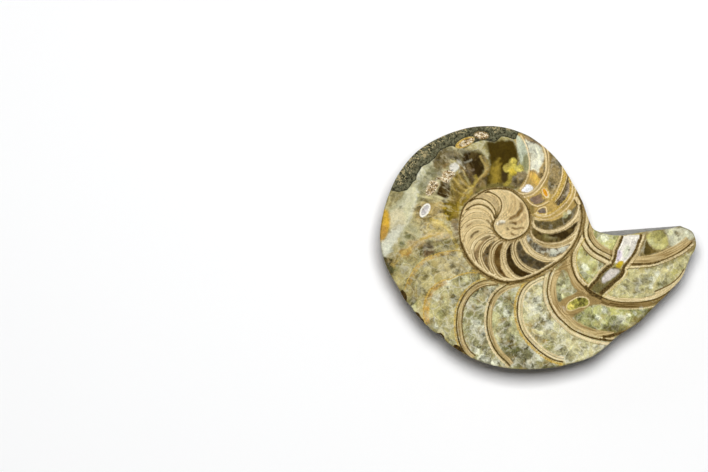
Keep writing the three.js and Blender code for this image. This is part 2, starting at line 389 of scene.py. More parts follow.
# Veins, cracks and stains: colour, width in pixels, and where each goes
STROKES = [
    ((186, 158, 60), 2.6, [(430, 220), (436, 221), (443, 223), (447, 226), (450, 231), (453, 237),
        (456, 243), (457.5, 248)]),
    ((214, 192, 110), 1.1, [(431, 221), (437, 222.5), (443, 225), (447, 229), (450, 234), (453, 240)]),
    ((112, 90, 30), 1.0, [(449, 227), (452, 231), (455, 237), (457, 243)]),
    ((176, 146, 46), 6.5, [(473, 187), (469, 192), (465, 197), (460, 204)]),
    ((198, 172, 92), 1.2, [(469.5, 187), (466, 191), (463, 196), (460.5, 201)]),
    ((112, 82, 22), 1.2, [(469, 189.5), (466, 193), (463.5, 198), (462, 203)]),
    ((110, 90, 64), 2.2, [(480, 179), (476.5, 184), (474.5, 189), (474, 193)]),
    ((178, 146, 72), 2.6, [(480.5, 156), (483, 161), (485.5, 166), (486.5, 171), (484, 175), (479, 179.5),
        (475.5, 184), (472, 187.5)]),
    ((158, 128, 62), 1.3, [(484, 156.5), (487, 161.5), (488.6, 167), (487.8, 172), (485, 176)]),
    ((214, 190, 114), 1.1, [(480, 156), (482, 160), (484.6, 165.5), (485.4, 170.5), (483, 174.5),
        (478.5, 179), (474.5, 184)]),
    ((206, 178, 92), 0.9, [(468, 186), (462, 180), (457, 172)]),
    ((84, 66, 28), 1.2, [(467, 188.5), (460, 182.5), (455, 175)]),
    ((206, 180, 98), 0.9, [(466, 190.5), (459, 185), (453, 177)]),
    ((88, 70, 30), 1.2, [(465, 193), (457, 188.5), (452, 181)]),
    ((198, 172, 88), 0.9, [(464, 195), (456, 191), (451, 185)]),
    ((204, 178, 96), 0.9, [(470, 184), (466, 177), (463, 170)]),
    ((80, 62, 26), 1.2, [(471, 186), (468, 180), (466, 173)]),
    ((188, 164, 62), 2.8, [(474.5, 175.5), (476.3, 179), (475, 183), (472.5, 187)]),
    ((58, 42, 16), 3.0, [(473, 171), (475, 174)]),
    ((166, 146, 120), 1.8, [(471, 170.5), (474, 170)]),
    ((84, 68, 38), 2.2, [(461, 171), (463.5, 176), (465, 180)]),
    ((152, 146, 98), 1.6, [(465.5, 176), (467.5, 181), (469, 185)]),
    ((72, 54, 24), 1.8, [(469, 177.5), (471.5, 181), (473, 185)]),
    ((172, 154, 92), 1.2, [(452, 183), (453, 190), (454.5, 198)]),
    ((184, 160, 88), 1.4, [(457, 179), (461, 186), (463, 190)]),
    ((120, 98, 40), 1.4, [(455, 184), (457, 192), (457, 199)]),
    ((206, 198, 168), 1.3, [(461, 163.5), (463, 166), (465, 168.5)]),
    ((198, 194, 168), 1.3, [(464.5, 162.5), (468, 161.5), (471.8, 159.8)]),
    ((204, 192, 112), 1.2, [(450.5, 160), (453, 161.8), (456, 160.5)]),
    ((156, 130, 82), 3.0, [(449, 160), (446, 165), (443, 168)]),
    ((90, 84, 66), 1.1, [(448, 154), (451, 152.5), (455, 153), (457, 156), (455.5, 159.5)]),
    ((84, 80, 60), 1.2, [(450, 157.5), (453, 155.5), (454.5, 158)]),
    ((190, 168, 136), 1.1, [(436, 178.4), (442, 178.6)]),
    ((138, 128, 100), 1.4, [(443.5, 181), (445.5, 184), (446, 188)]),
    ((142, 132, 106), 1.3, [(447, 181), (448, 184), (447.5, 188)]),
    ((222, 214, 146), 1.6, [(417.8, 193.5), (418.2, 196.5)]),
    ((214, 204, 150), 1.5, [(420.5, 195.5), (425, 197.4), (430, 196.6), (436, 196), (440, 197.5),
        (443, 199)]),
    ((72, 60, 26), 2.4, [(420.5, 199), (425, 200), (431, 201.5)]),
    ((50, 36, 12), 2.4, [(443, 199.5), (445, 203), (445.6, 206.5)]),
    ((206, 204, 168), 4.5, [(410, 188), (404, 199), (397, 205), (390, 210)]),
    ((228, 226, 202), 6.0, [(402, 227), (395, 231), (390, 238), (384, 245), (382, 253)]),
    ((196, 170, 122), 4.4, [(423, 238), (432, 235.6), (440, 235), (450, 236)]),
    ((218, 198, 148), 1.1, [(430, 237), (440, 235.6), (449, 235.4)]),
    ((190, 158, 76), 1.6, [(409, 249), (416, 243), (422, 239), (430, 236)]),
    ((116, 102, 62), 1.3, [(430, 243), (440, 241), (449, 239.4)]),
    ((222, 206, 150), 1.1, [(406.5, 231), (413, 235), (418, 239.5)]),
    ((110, 104, 58), 2.2, [(405, 232.5), (410, 236), (415, 238.4)]),
    ((98, 108, 74), 2.4, [(400.5, 243.5), (404, 242.5)]),
    ((226, 226, 206), 2.0, [(422.5, 168), (419, 173), (417.8, 179)]),
    ((132, 120, 80), 2.0, [(394, 194), (392, 201), (390, 207)]),
    ((190, 182, 136), 1.4, [(397, 193), (395, 199), (392, 205)]),
    ((176, 150, 88), 5.0, [(528, 323), (532, 331), (537, 338), (543, 344)]),
    ((186, 138, 52), 5.0, [(446, 282), (438, 285.5), (432, 291), (428, 298), (426.5, 307), (426, 316),
        (427.5, 324)]),
    ((196, 156, 74), 3.0, [(450, 252.5), (441, 254), (432, 257), (425, 261), (418, 267), (412.5, 275),
        (409, 284)]),
    ((214, 206, 160), 2.2, [(452, 283), (444, 287), (438, 292), (434, 299)]),
    ((198, 170, 92), 4.0, [(392, 266), (397, 259), (403, 253), (411, 248)]),
    ((190, 158, 70), 2.0, [(420, 240), (430, 236), (440, 234)]),
    ((146, 112, 58), 2.2, [(524, 203), (523, 208), (520.5, 212.5), (516, 216), (510, 218.2)]),
    ((112, 82, 40), 2.0, [(521, 203), (520.5, 208), (518.5, 212), (515, 215.3), (510, 218)]),
    ((172, 142, 94), 3.4, [(525, 214), (523, 219), (518, 222.5), (512, 222.5)]),
    ((96, 70, 32), 1.6, [(510, 222), (513, 223), (516, 223.8)]),
    ((110, 82, 44), 1.2, [(512, 228), (516, 228.6), (520, 228.2), (524, 228)]),
    ((120, 92, 50), 1.2, [(511, 233), (514, 234.6), (518, 234.8)]),
    ((124, 98, 54), 1.2, [(525, 231), (522, 233.5), (519, 235)]),
    ((98, 78, 40), 1.6, [(507, 227.5), (508, 230)]),
    ((170, 140, 90), 1.6, [(511, 193), (512, 200), (511, 206), (508, 211)]),
    ((166, 136, 86), 1.6, [(514, 196), (515, 202), (514, 208), (510, 213)]),
    ((178, 148, 98), 1.4, [(518, 198), (518.5, 204), (517, 209), (513, 214)]),
    ((126, 96, 52), 1.3, [(473, 222.5), (469, 225), (466, 227.5)]),
    ((104, 78, 40), 1.3, [(478, 231.5), (474, 233.5), (472, 236), (471, 238.5)]),
    ((84, 62, 30), 1.8, [(484, 205.5), (487, 207), (490, 209.5)]),
    ((70, 52, 26), 1.8, [(486.5, 220), (489.5, 223), (492, 226), (494, 229)]),
    ((84, 64, 32), 1.5, [(488, 228), (490.5, 229), (493.5, 231)]),
    ((92, 72, 36), 1.5, [(470, 237.8), (472, 235), (475, 232.5), (478.5, 231)]),
    ((62, 46, 20), 2.6, [(481.5, 240), (484, 238), (488, 236.6), (491, 236)]),
    ((92, 70, 34), 1.6, [(476, 204.6), (479, 204.4)]),
    ((86, 64, 32), 1.8, [(484, 205.5), (488, 208), (491, 210.5)]),
    ((120, 92, 44), 2.6, [(509, 219), (513, 217.6), (517, 215.6), (520, 212), (521.6, 207), (521.4, 203.5)]),
    ((96, 72, 34), 1.9, [(509.5, 222.4), (514, 223.3), (516.5, 224.4)]),
    ((118, 92, 48), 1.5, [(511.5, 228), (516, 228.9), (520, 228.3), (523.5, 227.6)]),
    ((112, 88, 46), 1.5, [(510.5, 233), (514, 235), (518.5, 234.6)]),
    ((80, 62, 30), 1.5, [(513, 189.5), (518, 192), (523, 193.5), (528, 193)]),
    ((54, 44, 20), 3.0, [(514, 174), (515, 180), (518, 186)]),
    ((52, 46, 36), 2.6, [(514, 131), (521, 132), (528, 135), (534, 138), (541, 141.5)]),
    ((96, 74, 48), 2.2, [(533, 141), (537, 142.5)]),
    ((150, 134, 60), 3.0, [(563, 159), (566, 166), (567.3, 174)]),
    ((112, 86, 44), 2.0, [(550.5, 151), (551.2, 157), (551, 163)]),
    ((168, 148, 104), 3.0, [(553, 161), (556, 165), (558, 171)]),
    ((104, 76, 44), 2.0, [(576, 192), (577, 197)]),
    ((70, 58, 30), 2.2, [(492, 222), (493, 226), (495, 230), (498, 234.5), (502, 238)]),
    # Painted light at the coil's hub: a white painted highlight, and a grey painted shade just under it
    ((244, 240, 224), 2.0, [(497, 224), (499, 221.8), (502, 221.4), (505, 221.8)]),
    ((128, 116, 92), 1.6, [(498, 225), (500, 223.8), (505, 223.6)]),
    ((166, 144, 102), 4.0, [(497, 215), (497.5, 207), (495, 201), (490, 197.5), (484, 196), (479, 196.5)]),
    ((146, 120, 72), 2.2, [(463, 240), (465, 247), (469, 254), (474, 261)]),
    # A painted highlight: a pale green-grey streak in a dark chamber of the inner coil
    ((146, 134, 92), 2.4, [(545, 236.3), (550, 238), (556, 239.2)]),
    ((104, 90, 48), 3.0, [(536, 235), (542, 238), (550, 240.5), (560, 239.5)]),
    ((150, 126, 76), 1.6, [(580, 226), (576.5, 234.5), (572, 239), (566, 242.6), (559, 245), (552, 245.6),
        (545, 245), (539, 242.6), (534.5, 239)]),
    ((104, 92, 48), 3.0, [(531, 206), (533, 213), (533.5, 222), (532, 230), (528, 236)]),
    ((214, 214, 190), 3.0, [(659, 271), (656, 276), (652, 283), (650, 288)]),
    ((140, 132, 92), 1.2, [(545, 344), (540, 340), (537, 336)]),
]

# Areas of mineral: outline, colour, how soft the edge is in pixels, and how crystalline and
# how veiled with white the mineral is, from 0 to 1. Later ones lie over earlier ones.
AREAS = {
    "upper left": ([(378, 262), (378, 205), (390, 186), (440, 146), (470, 143), (482, 175), (462, 205),
        (458, 235), (452, 255), (420, 262), (395, 268)], (180, 169, 118), 6, 0.35, 0.35),
    "grey-green": ([(384, 200), (398, 193), (412, 184), (428, 166), (447, 149), (452, 150), (446, 160),
        (440, 168), (434, 178), (426, 192), (418, 205), (404, 212), (392, 222)], (144, 140, 100), 6, 0.1,
        0.25),
    "edge of matrix": ([(441, 149), (440, 156), (434, 162), (427, 170), (422, 180), (414, 190), (408, 191),
        (414, 184), (418, 176), (422, 168), (430, 161), (437, 154)], (176, 174, 140), 3, 0.1, 0.5),
    "brown by matrix": ([(442, 150), (448, 150), (449, 158), (446, 166), (440, 172), (436, 170), (437, 160)],
        (128, 116, 76), 5, 0.2, 0.1),
    "left streaks": ([(386, 196), (396, 192), (403, 193), (399, 203), (393, 209), (386, 209), (384, 204)],
        (172, 160, 108), 4, 0.3, 0.2),
    "pale veil": ([(381, 246), (386, 238), (392, 231), (400, 225), (405, 212), (409, 200), (413, 192),
        (417, 190), (416, 202), (411, 216), (406, 228), (398, 238), (390, 247), (384, 254)], (238, 236, 212),
        6, 0.1, 0.6),
    "pale column": ([(409, 188), (416, 187), (415, 200), (411, 212), (408, 224), (402, 224), (402, 212),
        (403, 200)], (204, 200, 160), 5, 0.1, 0.5),
    "warm veil": ([(390, 212), (398, 208), (404, 214), (405, 224), (398, 228), (390, 228)], (214, 204, 164),
        5, 0.1, 0.3),
    "olive veil": ([(402, 228), (408, 225), (417, 228), (419, 238), (410, 241), (402, 241), (398, 236)],
        (178, 172, 128), 5, 0.2, 0.2),
    "middle left": ([(416, 206), (430, 202), (444, 201), (458, 204), (456, 216), (446, 220), (436, 218),
        (424, 222), (416, 220)], (156, 136, 84), 6, 0.9, 0.1),
    "golden left": ([(443, 204), (452, 200), (460, 203), (459, 214), (456, 222), (448, 221), (444, 214)],
        (142, 120, 40), 4, 0.7, 0.0),
    "by the vein": ([(424, 222), (436, 220), (444, 224), (449, 230), (446, 234), (432, 235), (424, 236),
        (420, 230)], (166, 148, 92), 4, 0.9, 0.3),
    "lilac by the coil": ([(451, 221), (457, 218), (459, 226), (459, 236), (455, 234), (452, 228)],
        (128, 112, 82), 3, 0.9, 0.1),
    "grey mottle": ([(447, 150), (458, 149), (470, 150), (476, 153), (472, 160), (462, 160), (450, 160),
        (446, 156)], (98, 92, 66), 4, 0.8, 0.1),
    "brown under the matrix": ([(438, 152), (446, 150), (458, 151), (460, 158), (452, 163), (444, 166),
        (438, 168), (433, 166), (434, 158)], (112, 98, 60), 4, 0.6, 0.1),
    "dark middle": ([(464, 154), (474, 151), (482, 154), (485, 162), (484, 172), (480, 178), (474, 180),
        (470, 174), (465, 168), (462, 160)], (56, 42, 14), 4, 0.35, 0.0),
    "brown below": ([(459, 166), (466, 164), (473, 172), (477, 178), (473, 184), (467, 184), (461, 176)],
        (104, 84, 48), 4, 0.8, 0.1),
    "fan": ([(452, 178), (459, 172), (466, 174), (470, 181), (471, 187), (466, 191), (461, 198), (455, 204),
        (450, 200), (450, 188)], (134, 112, 48), 4, 0.5, 0.05),
    "dark patch": ([(440, 181), (446, 180.5), (449.5, 183), (450, 190), (449, 196.5), (445, 198.5),
        (440, 196), (436.5, 193.5), (438, 188.5), (440, 185.5)], (62, 46, 18), 2, 0.6, 0.0),
    "below the vein": ([(478, 179), (484, 175), (490, 176), (491, 186), (484, 189), (477, 192), (475, 188)],
        (92, 78, 46), 3, 0.8, 0.1),
    "clear olive": ([(487, 143), (498, 141), (508, 140), (514, 141), (518, 150), (519, 163), (519, 178),
        (508, 186), (493, 188), (486, 186), (487, 176), (490, 165), (488, 152)], (70, 55, 12), 4, 0.1, 0.0),
    "olive glow": ([(493, 166), (499, 160), (500, 172), (499, 184), (492, 184), (491, 175)], (158, 134, 48),
        7, 0.1, 0.0),
    "dark beside glow": (ellipse(504.5, 175, 3, 8), (58, 46, 22), 4, 0.1, 0.0),
    "grey-brown mottle": ([(511, 172), (520, 170), (528, 174), (526, 182), (520, 188), (512, 186)],
        (118, 104, 72), 3, 1.0, 0.2),
    "olive band": ([(470, 192), (482, 186), (495, 183), (508, 184), (516, 187), (512, 189), (498, 187),
        (484, 190), (472, 197), (464, 205), (461, 203)], (96, 86, 44), 3, 0.8, 0.0),
    "siphuncle crumbs": ([(437, 177.5), (441.5, 177), (442.5, 172.5), (446, 170.5), (450, 170.5),
        (455, 173.5), (452, 177), (450, 180), (449, 183), (444, 182), (441, 180), (437, 179)],
        (184, 170, 134), 1.5, 1.0, 0.2),
    "grey bead": (ellipse(439.6, 174.2, 2.3, 3.4, 20), (164, 158, 128), 1.2, 0.1, 0.0),
    "speckled bead": ([(430, 181), (434, 180.5), (437, 182), (439, 184), (437, 188), (434, 192), (431, 195),
        (427.5, 195.5), (426, 193), (426.5, 189), (428.5, 184)], (192, 174, 138), 1.2, 1.0, 0.3),
    "white bead": ([(449.5, 166.5), (452, 163.5), (456, 163), (458.5, 165.5), (458.5, 168.5), (456, 171),
        (453, 172.5), (450.5, 170.5)], (240, 236, 222), 1.5, 0.2, 0.0),
    "bright bit": ([(457, 159.5), (459, 160), (461.5, 162.5), (462, 164.5), (460.5, 164.5), (457.5, 162)],
        (232, 226, 206), 1.2, 0.1, 0.0),
    "shade of the bead": (ellipse(451.8, 170.6, 1.8, 0.9, 30), (150, 148, 138), 1, 0.1, 0.0),
    "left of coil": ([(436, 238), (448, 238), (457, 234), (460, 250), (452, 252), (440, 250), (434, 246)],
        (172, 152, 104), 4, 0.8, 0.3),
    "low left": ([(382, 255), (410, 250), (440, 240), (458, 240), (472, 262), (488, 276), (465, 295),
        (457, 320), (462, 352), (440, 340), (408, 310), (386, 280)], (160, 149, 98), 5, 0.75, 0.3),
    "pale below j": ([(440, 252), (458, 249), (464, 258), (470, 268), (458, 274), (446, 278), (438, 270)],
        (178, 164, 116), 5, 0.7, 0.3),
    "left of h": ([(436, 283), (450, 279), (466, 274), (482, 275), (490, 279), (474, 284), (464, 293),
        (457, 306), (455, 322), (457, 340), (462, 352), (446, 342), (432, 328), (426, 312), (429, 294)],
        (168, 160, 108), 4, 0.8, 0.5),
    "between h and g": ([(500, 281), (480, 283), (464, 296), (457, 320), (459, 342), (472, 361), (490, 368),
        (510, 368), (495, 352), (488, 330), (488, 308), (496, 292)], (150, 146, 104), 3, 1.0, 0.6),
    "between g and f": ([(540, 276), (512, 283), (495, 292), (488, 312), (488, 332), (497, 352), (510, 368),
        (540, 369), (560, 366), (535, 350), (521, 328), (518, 305), (526, 286)], (162, 160, 116), 3, 1.0,
        0.6),
    "dark rim below f": ([(536, 362), (545, 366), (556, 368), (566, 367), (575, 364), (582, 361), (575, 367),
        (560, 371), (545, 371), (534, 367)], (84, 80, 50), 2, 0.8, 0.1),
    "between f and e": ([(552, 272), (530, 281), (519, 300), (519, 322), (530, 342), (548, 358), (575, 364),
        (602, 352), (616, 342), (590, 338), (565, 326), (550, 305), (548, 285)], (190, 184, 138), 3, 0.8,
        0.7),
    "dark low end": ([(503, 345), (510, 342), (518, 344), (524, 349), (532, 354), (541, 359), (552, 363),
        (562, 366), (545, 370), (520, 370), (507, 362), (502, 352)], (116, 112, 76), 4, 1.0, 0.5),
    "neck": ([(563, 262), (571, 254), (573, 263), (575, 270), (579, 277), (584, 283), (592, 290), (602, 299),
        (625, 302), (648, 302), (655, 306), (630, 309), (600, 305), (588, 308), (575, 316), (563, 322),
        (552, 308), (548, 290), (553, 274)], (152, 128, 80), 2, 0.0, 0.0),
    "chamber e": ([(563, 270), (566, 271.5), (569, 277), (571, 283), (574, 288), (577, 291), (573, 294),
        (566, 297), (562, 299.5), (559.5, 302), (557.5, 300), (556.5, 293), (556, 285), (557.5, 279),
        (560, 274)], (150, 150, 108), 1.2, 0.8, 0.4),
    "pocket": ([(567, 305), (569, 302), (571.5, 300.5), (577, 297.5), (584, 297), (588, 299.5), (589, 303.5),
        (586, 306.5), (580, 307.5), (574, 310), (568.5, 310.5), (566.5, 307.5)], (156, 150, 70), 1, 1.0,
        0.0),
    "yellow of the pocket": (ellipse(571, 306, 3.4, 3), (192, 178, 92), 2, 0.9, 0.0),
    "pale beside the pocket": (ellipse(562, 309.5, 3.5, 3.5), (178, 160, 132), 2, 0.6, 0.2),
    "low arm": ([(575, 316), (582, 312), (590, 306), (600, 305), (612, 307.5), (625, 309), (640, 308.5),
        (652, 306), (662, 298), (672, 293), (655, 310), (640, 324), (630, 330), (620, 332), (600, 332),
        (590, 328), (582, 323)], (164, 164, 106), 2, 0.9, 0.35),
    "shade of the low arm": ([(604, 326), (616, 325), (630, 324), (640, 316), (650, 308), (658, 303),
        (655, 312), (642, 324), (630, 332), (615, 335), (600, 336)], (112, 106, 58), 4, 0.9, 0.15),
    "middle arm": ([(624, 270), (640, 270), (655, 268), (668, 265), (680, 260), (693, 250), (691, 262),
        (684, 274), (674, 286), (660, 292), (645, 297), (630, 298), (618, 296), (607, 293), (614, 286),
        (620, 279)], (182, 175, 124), 2, 0.75, 0.4),
    "top arm": ([(592, 222), (600, 230), (612, 233), (622, 235), (616, 244), (612, 251), (608, 250),
        (602, 245), (597, 240), (592, 232)], (176, 174, 112), 2, 0.7, 0.4),
    "beside siphuncle": ([(580, 243), (584, 249), (590, 255), (597, 260), (606, 265), (600, 270), (595, 276),
        (591, 283), (588, 286), (582, 279), (576, 269), (575, 260), (577, 250)], (166, 164, 108), 2, 0.75,
        0.4),
    "arm tip": ([(641, 234), (650, 229), (660, 227), (680, 225), (692, 230), (698, 241), (694, 250),
        (675, 258), (655, 264), (635, 266), (636, 250)], (138, 122, 78), 2, 0.5, 0.3),
    "tip crystal": ([(646, 237), (650, 232.5), (655, 230.5), (660, 230.5), (664, 232.5), (667, 236),
        (668, 241), (668, 245), (663, 248.5), (657, 249.5), (652, 246), (648, 241)], (176, 168, 100), 1.2,
        0.4, 0.1),
    "pale of the tip crystal": ([(650, 242.5), (656, 244), (663, 244), (667, 244), (663, 248), (657, 249.2),
        (653, 246.5)], (196, 190, 126), 2, 0.4, 0.1),
    "pale by the tip": ([(665, 229), (678, 227), (690, 229), (695, 236), (690, 240), (683, 244), (676, 247),
        (670, 245), (668, 238)], (188, 186, 156), 3, 0.5, 0.5),
    "dark corner": ([(646.5, 241), (649, 244.5), (653, 249), (657, 251.5), (651, 254.5), (644.5, 254.5),
        (644.5, 248)], (88, 74, 34), 1, 0.6, 0.0),
    "tip end": (ellipse(686, 245, 8, 3, 30), (148, 122, 84), 3, 0.3, 0.0),
    "coil": ([(581, 205), (584, 214), (582, 228), (578, 238), (570, 250), (558, 262), (540, 273), (520, 281),
        (503, 281.5), (488, 276), (472, 263), (462, 248), (459, 232), (460, 216), (468, 201), (480, 192),
        (496, 188), (508, 188.5), (519, 193), (530, 196), (549, 205), (566, 195), (570, 178)],
        (210, 187, 136), 1, 0.0, 0.0),
    "right of top": ([(514, 133), (526, 134), (540, 141), (556, 153), (566, 164), (574, 184), (581, 204),
        (575, 212), (549, 222), (532, 216), (527, 205), (518, 192), (521, 185), (528, 172), (518, 150)],
        (176, 148, 84), 1.5, 0.3, 0.0),
    "pale stripe": ([(516, 136), (520, 137), (525, 144), (528, 152), (529, 160), (529, 168), (525, 168),
        (521, 164), (519.3, 158), (517.5, 150), (516.5, 143)], (184, 190, 164), 1, 0.3, 0.3),
    "olive of the stripe": ([(524, 154), (528, 155), (529, 164), (528.5, 171), (525, 170), (521, 165),
        (523, 160)], (138, 138, 100), 2.5, 0.2, 0.1),
    "white-green chamber": ([(527, 138), (533, 142), (540, 146), (543.5, 152), (544, 158), (542.5, 163),
        (540, 168), (538, 173), (534, 169.5), (530, 170), (530, 160), (527.5, 149), (524.5, 141)],
        (208, 207, 184), 1.5, 0.6, 0.9),
    "brown of the chamber": ([(531, 170), (535, 170), (538.5, 173), (541, 168), (544, 162), (545, 168),
        (543, 175), (541, 179), (537, 175), (533, 172)], (146, 124, 80), 1.5, 0.9, 0.1),
    "speckled top": ([(522, 133), (530, 136), (540, 143), (544, 148), (536, 144), (528, 141)],
        (128, 108, 74), 1.5, 1.0, 0.1),
    "olive chamber": ([(550, 150), (556, 156), (561, 163), (562, 172), (560.5, 180), (557, 187), (552, 194),
        (548.5, 190), (548, 185), (548.5, 178), (550, 170), (550.5, 160)], (146, 127, 84), 1.2, 0.9, 0.25),
    "lilac chamber": ([(566, 177), (569.5, 180), (571, 184), (570.5, 190), (568, 196), (563, 203),
        (558, 206), (556.5, 200), (561, 195), (565, 188), (566.5, 182)], (138, 122, 98), 1, 1.0, 0.3),
    "orange siphuncle": ([(528, 173), (530.5, 171.5), (534, 172.5), (538, 176), (541, 180), (542, 184),
        (541, 187), (538.5, 187.5), (535, 184.5), (532, 181), (529.5, 178)], (206, 166, 86), 1.2, 0.3, 0.0),
    "orange core": ([(531.5, 174.5), (535, 175), (539, 180), (540, 184.5), (536, 182), (533, 178.5)],
        (216, 180, 84), 2, 0.2, 0.0),
    "white by siphuncle": ([(521.5, 190.5), (526, 185.5), (530, 184.3), (533, 188), (530.5, 191.3),
        (526, 192.3)], (230, 230, 230), 1.4, 0.5, 0.2),
    "lilac-brown chamber": ([(530, 198), (536, 195.5), (541, 193.5), (542.5, 198), (545, 201), (540, 203.5),
        (535, 204), (531, 201.5)], (112, 92, 74), 1, 0.9, 0.1),
    "small triangle": ([(538, 212), (541, 208.5), (545, 208.5), (545.5, 212.5), (542.5, 213.5)],
        (104, 90, 80), 1, 0.6, 0.1),
    "chamber 1": ([(497, 236), (490, 237), (484, 240), (478, 246), (474, 252), (473.5, 258), (476, 263),
        (479, 266), (478, 260), (479.5, 252), (482, 246), (487, 241), (493, 238.5)], (142, 118, 80), 1, 0.6,
        0.0),
    "chamber 2": ([(497, 240.5), (491, 243), (486, 248), (482.8, 254), (482.5, 260), (484.5, 266),
        (488, 270.5), (492, 273.5), (490, 268), (488.5, 262), (489, 255), (491, 249), (495, 244)],
        (104, 84, 50), 1, 1.0, 0.1),
    "chamber 3": ([(503, 242), (498, 245.5), (495, 250.5), (493.8, 257), (494, 263), (497, 269.5),
        (501, 274.5), (505, 277.5), (508, 277.8), (504, 273), (501.2, 267), (500.3, 260), (500.5, 253),
        (502.5, 247)], (84, 60, 24), 1, 0.5, 0.0),
    "chamber 4": ([(512, 242.5), (508.5, 246), (506.2, 252), (506.2, 258), (508, 265), (512, 271),
        (517, 275.5), (522, 277), (528, 276.5), (534, 274.5), (528, 272.5), (520, 268.5), (514, 262),
        (511.5, 255), (511, 248)], (52, 36, 10), 1, 0.3, 0.0),
    "chamber 5": ([(519, 241), (516.5, 246), (516.8, 252), (520, 259), (525, 264.5), (532, 268.5),
        (539, 270), (546, 268.5), (552, 265.5), (558, 261.5), (552, 261.5), (546, 262), (538, 260),
        (530, 255.5), (524, 249.5), (521, 243)], (72, 60, 36), 1, 0.9, 0.05),
    "chamber 6": ([(528, 234), (526.5, 238), (528.5, 244), (533, 249), (540, 254), (548, 256.5), (556, 256),
        (563, 253), (569, 248.5), (574, 241.5), (568, 244.5), (560, 247.4), (551, 248.2), (542, 246.5),
        (535, 242.5), (531, 238)], (104, 92, 70), 1, 1.0, 0.6),
    "chamber 7": ([(532, 228), (532, 232), (534.5, 237), (539, 240.6), (546, 242.6), (553, 242.6),
        (560, 241.3), (566, 238.4), (571, 234.4), (575, 229), (578, 221), (571, 226.5), (563, 230.8),
        (555, 233.2), (546, 233.6), (539, 231.6), (535, 228.6)], (58, 44, 18), 1, 0.5, 0.0),
    "chamber 8": ([(534.5, 220), (534, 223), (536.5, 226.5), (541.5, 229), (548, 230), (556, 228.5),
        (563, 225.5), (569, 221), (574, 215.5), (577, 209), (578, 204), (574, 208), (569, 213), (562, 217),
        (555, 220), (547, 221.5), (540, 221)], (84, 72, 40), 1, 0.9, 0.15),
    "mustard 1": (ellipse(508, 168, 5, 4.6), (184, 168, 74), 1.5, 0.8, 0.0),
    "mustard 2": (ellipse(513, 163, 4.6, 5), (190, 174, 80), 1.5, 0.8, 0.0),
    "mustard 3": (ellipse(513, 172, 4, 4), (186, 164, 58), 1.5, 0.8, 0.0),
    "mustard 4": (ellipse(519, 168.5, 5, 3.6), (182, 170, 84), 1.5, 0.8, 0.0),
    "mustard stem": ([(508, 174), (512, 175), (511, 182), (506, 186), (503, 184), (508, 180)],
        (150, 134, 56), 2, 0.4, 0.0),
    "left orange": ([(384, 208.5), (388, 212), (389.5, 217), (390, 223), (389, 229), (386.5, 235),
        (384, 241), (382, 244), (379, 240), (379, 228), (381, 216)], (206, 164, 58), 3, 0.3, 0.0),
    "orange low": (ellipse(383.5, 232, 3.5, 8, -10), (204, 158, 72), 3, 0.2, 0.0),
    "left white": ([(380, 243), (385, 241), (390, 236), (396, 231), (400, 234), (394, 243), (390, 250),
        (387, 257), (382, 258)], (222, 222, 198), 5, 0.1, 0.3),
    "brown left": ([(400, 250), (407, 248), (412, 251), (409, 256), (402, 256), (399, 253)], (152, 118, 58),
        3, 0.6, 0.0),
    "tan left": ([(408, 241), (420, 240), (426, 243), (418, 249), (410, 249)], (190, 166, 112), 4, 0.6, 0.2),
    "dark left of j": ([(420, 246), (428, 243), (434, 246), (433, 253), (427, 257), (421, 254)],
        (116, 94, 62), 4, 0.8, 0.2),
    "inside of the white oval": (ellipse(425, 210, 7, 4, 58), (208, 202, 198), 1, 0.3, 0.0),
    "left dark": ([(383.5, 258), (390, 258), (394, 263), (395, 269), (393, 275), (390, 275), (386, 269)],
        (66, 64, 36), 3, 1.0, 0.1),
    "white siphuncle": ([(623.5, 236.5), (631, 235), (639.5, 235), (638.5, 240), (636, 246), (633, 252),
        (630, 257), (626, 261), (622, 264), (616, 264), (615.5, 259), (617, 253), (619, 247), (621.5, 241)],
        (228, 222, 208), 1, 0.15, 0.0),
    "lilac of the siphuncle": ([(618, 250), (621, 251), (622, 256), (619, 261), (616.5, 261), (616.5, 255)],
        (212, 200, 208), 2, 0.1, 0.0),
    "green of the siphuncle": ([(626, 246), (630, 247), (629, 254), (625, 258), (623, 254)], (222, 222, 196),
        2, 0.1, 0.0),
    "yellow of the siphuncle": ([(617, 263), (620, 261), (623.5, 261.5), (622, 265), (620, 268),
        (617, 268.5), (615.5, 266.5)], (194, 168, 44), 1, 0.2, 0.0),
    "second siphuncle": ([(612.5, 267), (619.5, 268.5), (622, 270), (620, 276), (612, 282.5), (605, 289),
        (599, 293.5), (592, 291), (592, 287), (597, 281), (603, 273)], (98, 90, 52), 1, 0.8, 0.1),
    "white of the second": ([(612.5, 268.5), (618.5, 269.5), (618.5, 272.5), (612.5, 278), (607, 281.5),
        (602.5, 283), (601.5, 279), (605, 274), (608.5, 270.5)], (198, 190, 180), 1.5, 0.3, 0.0),
}

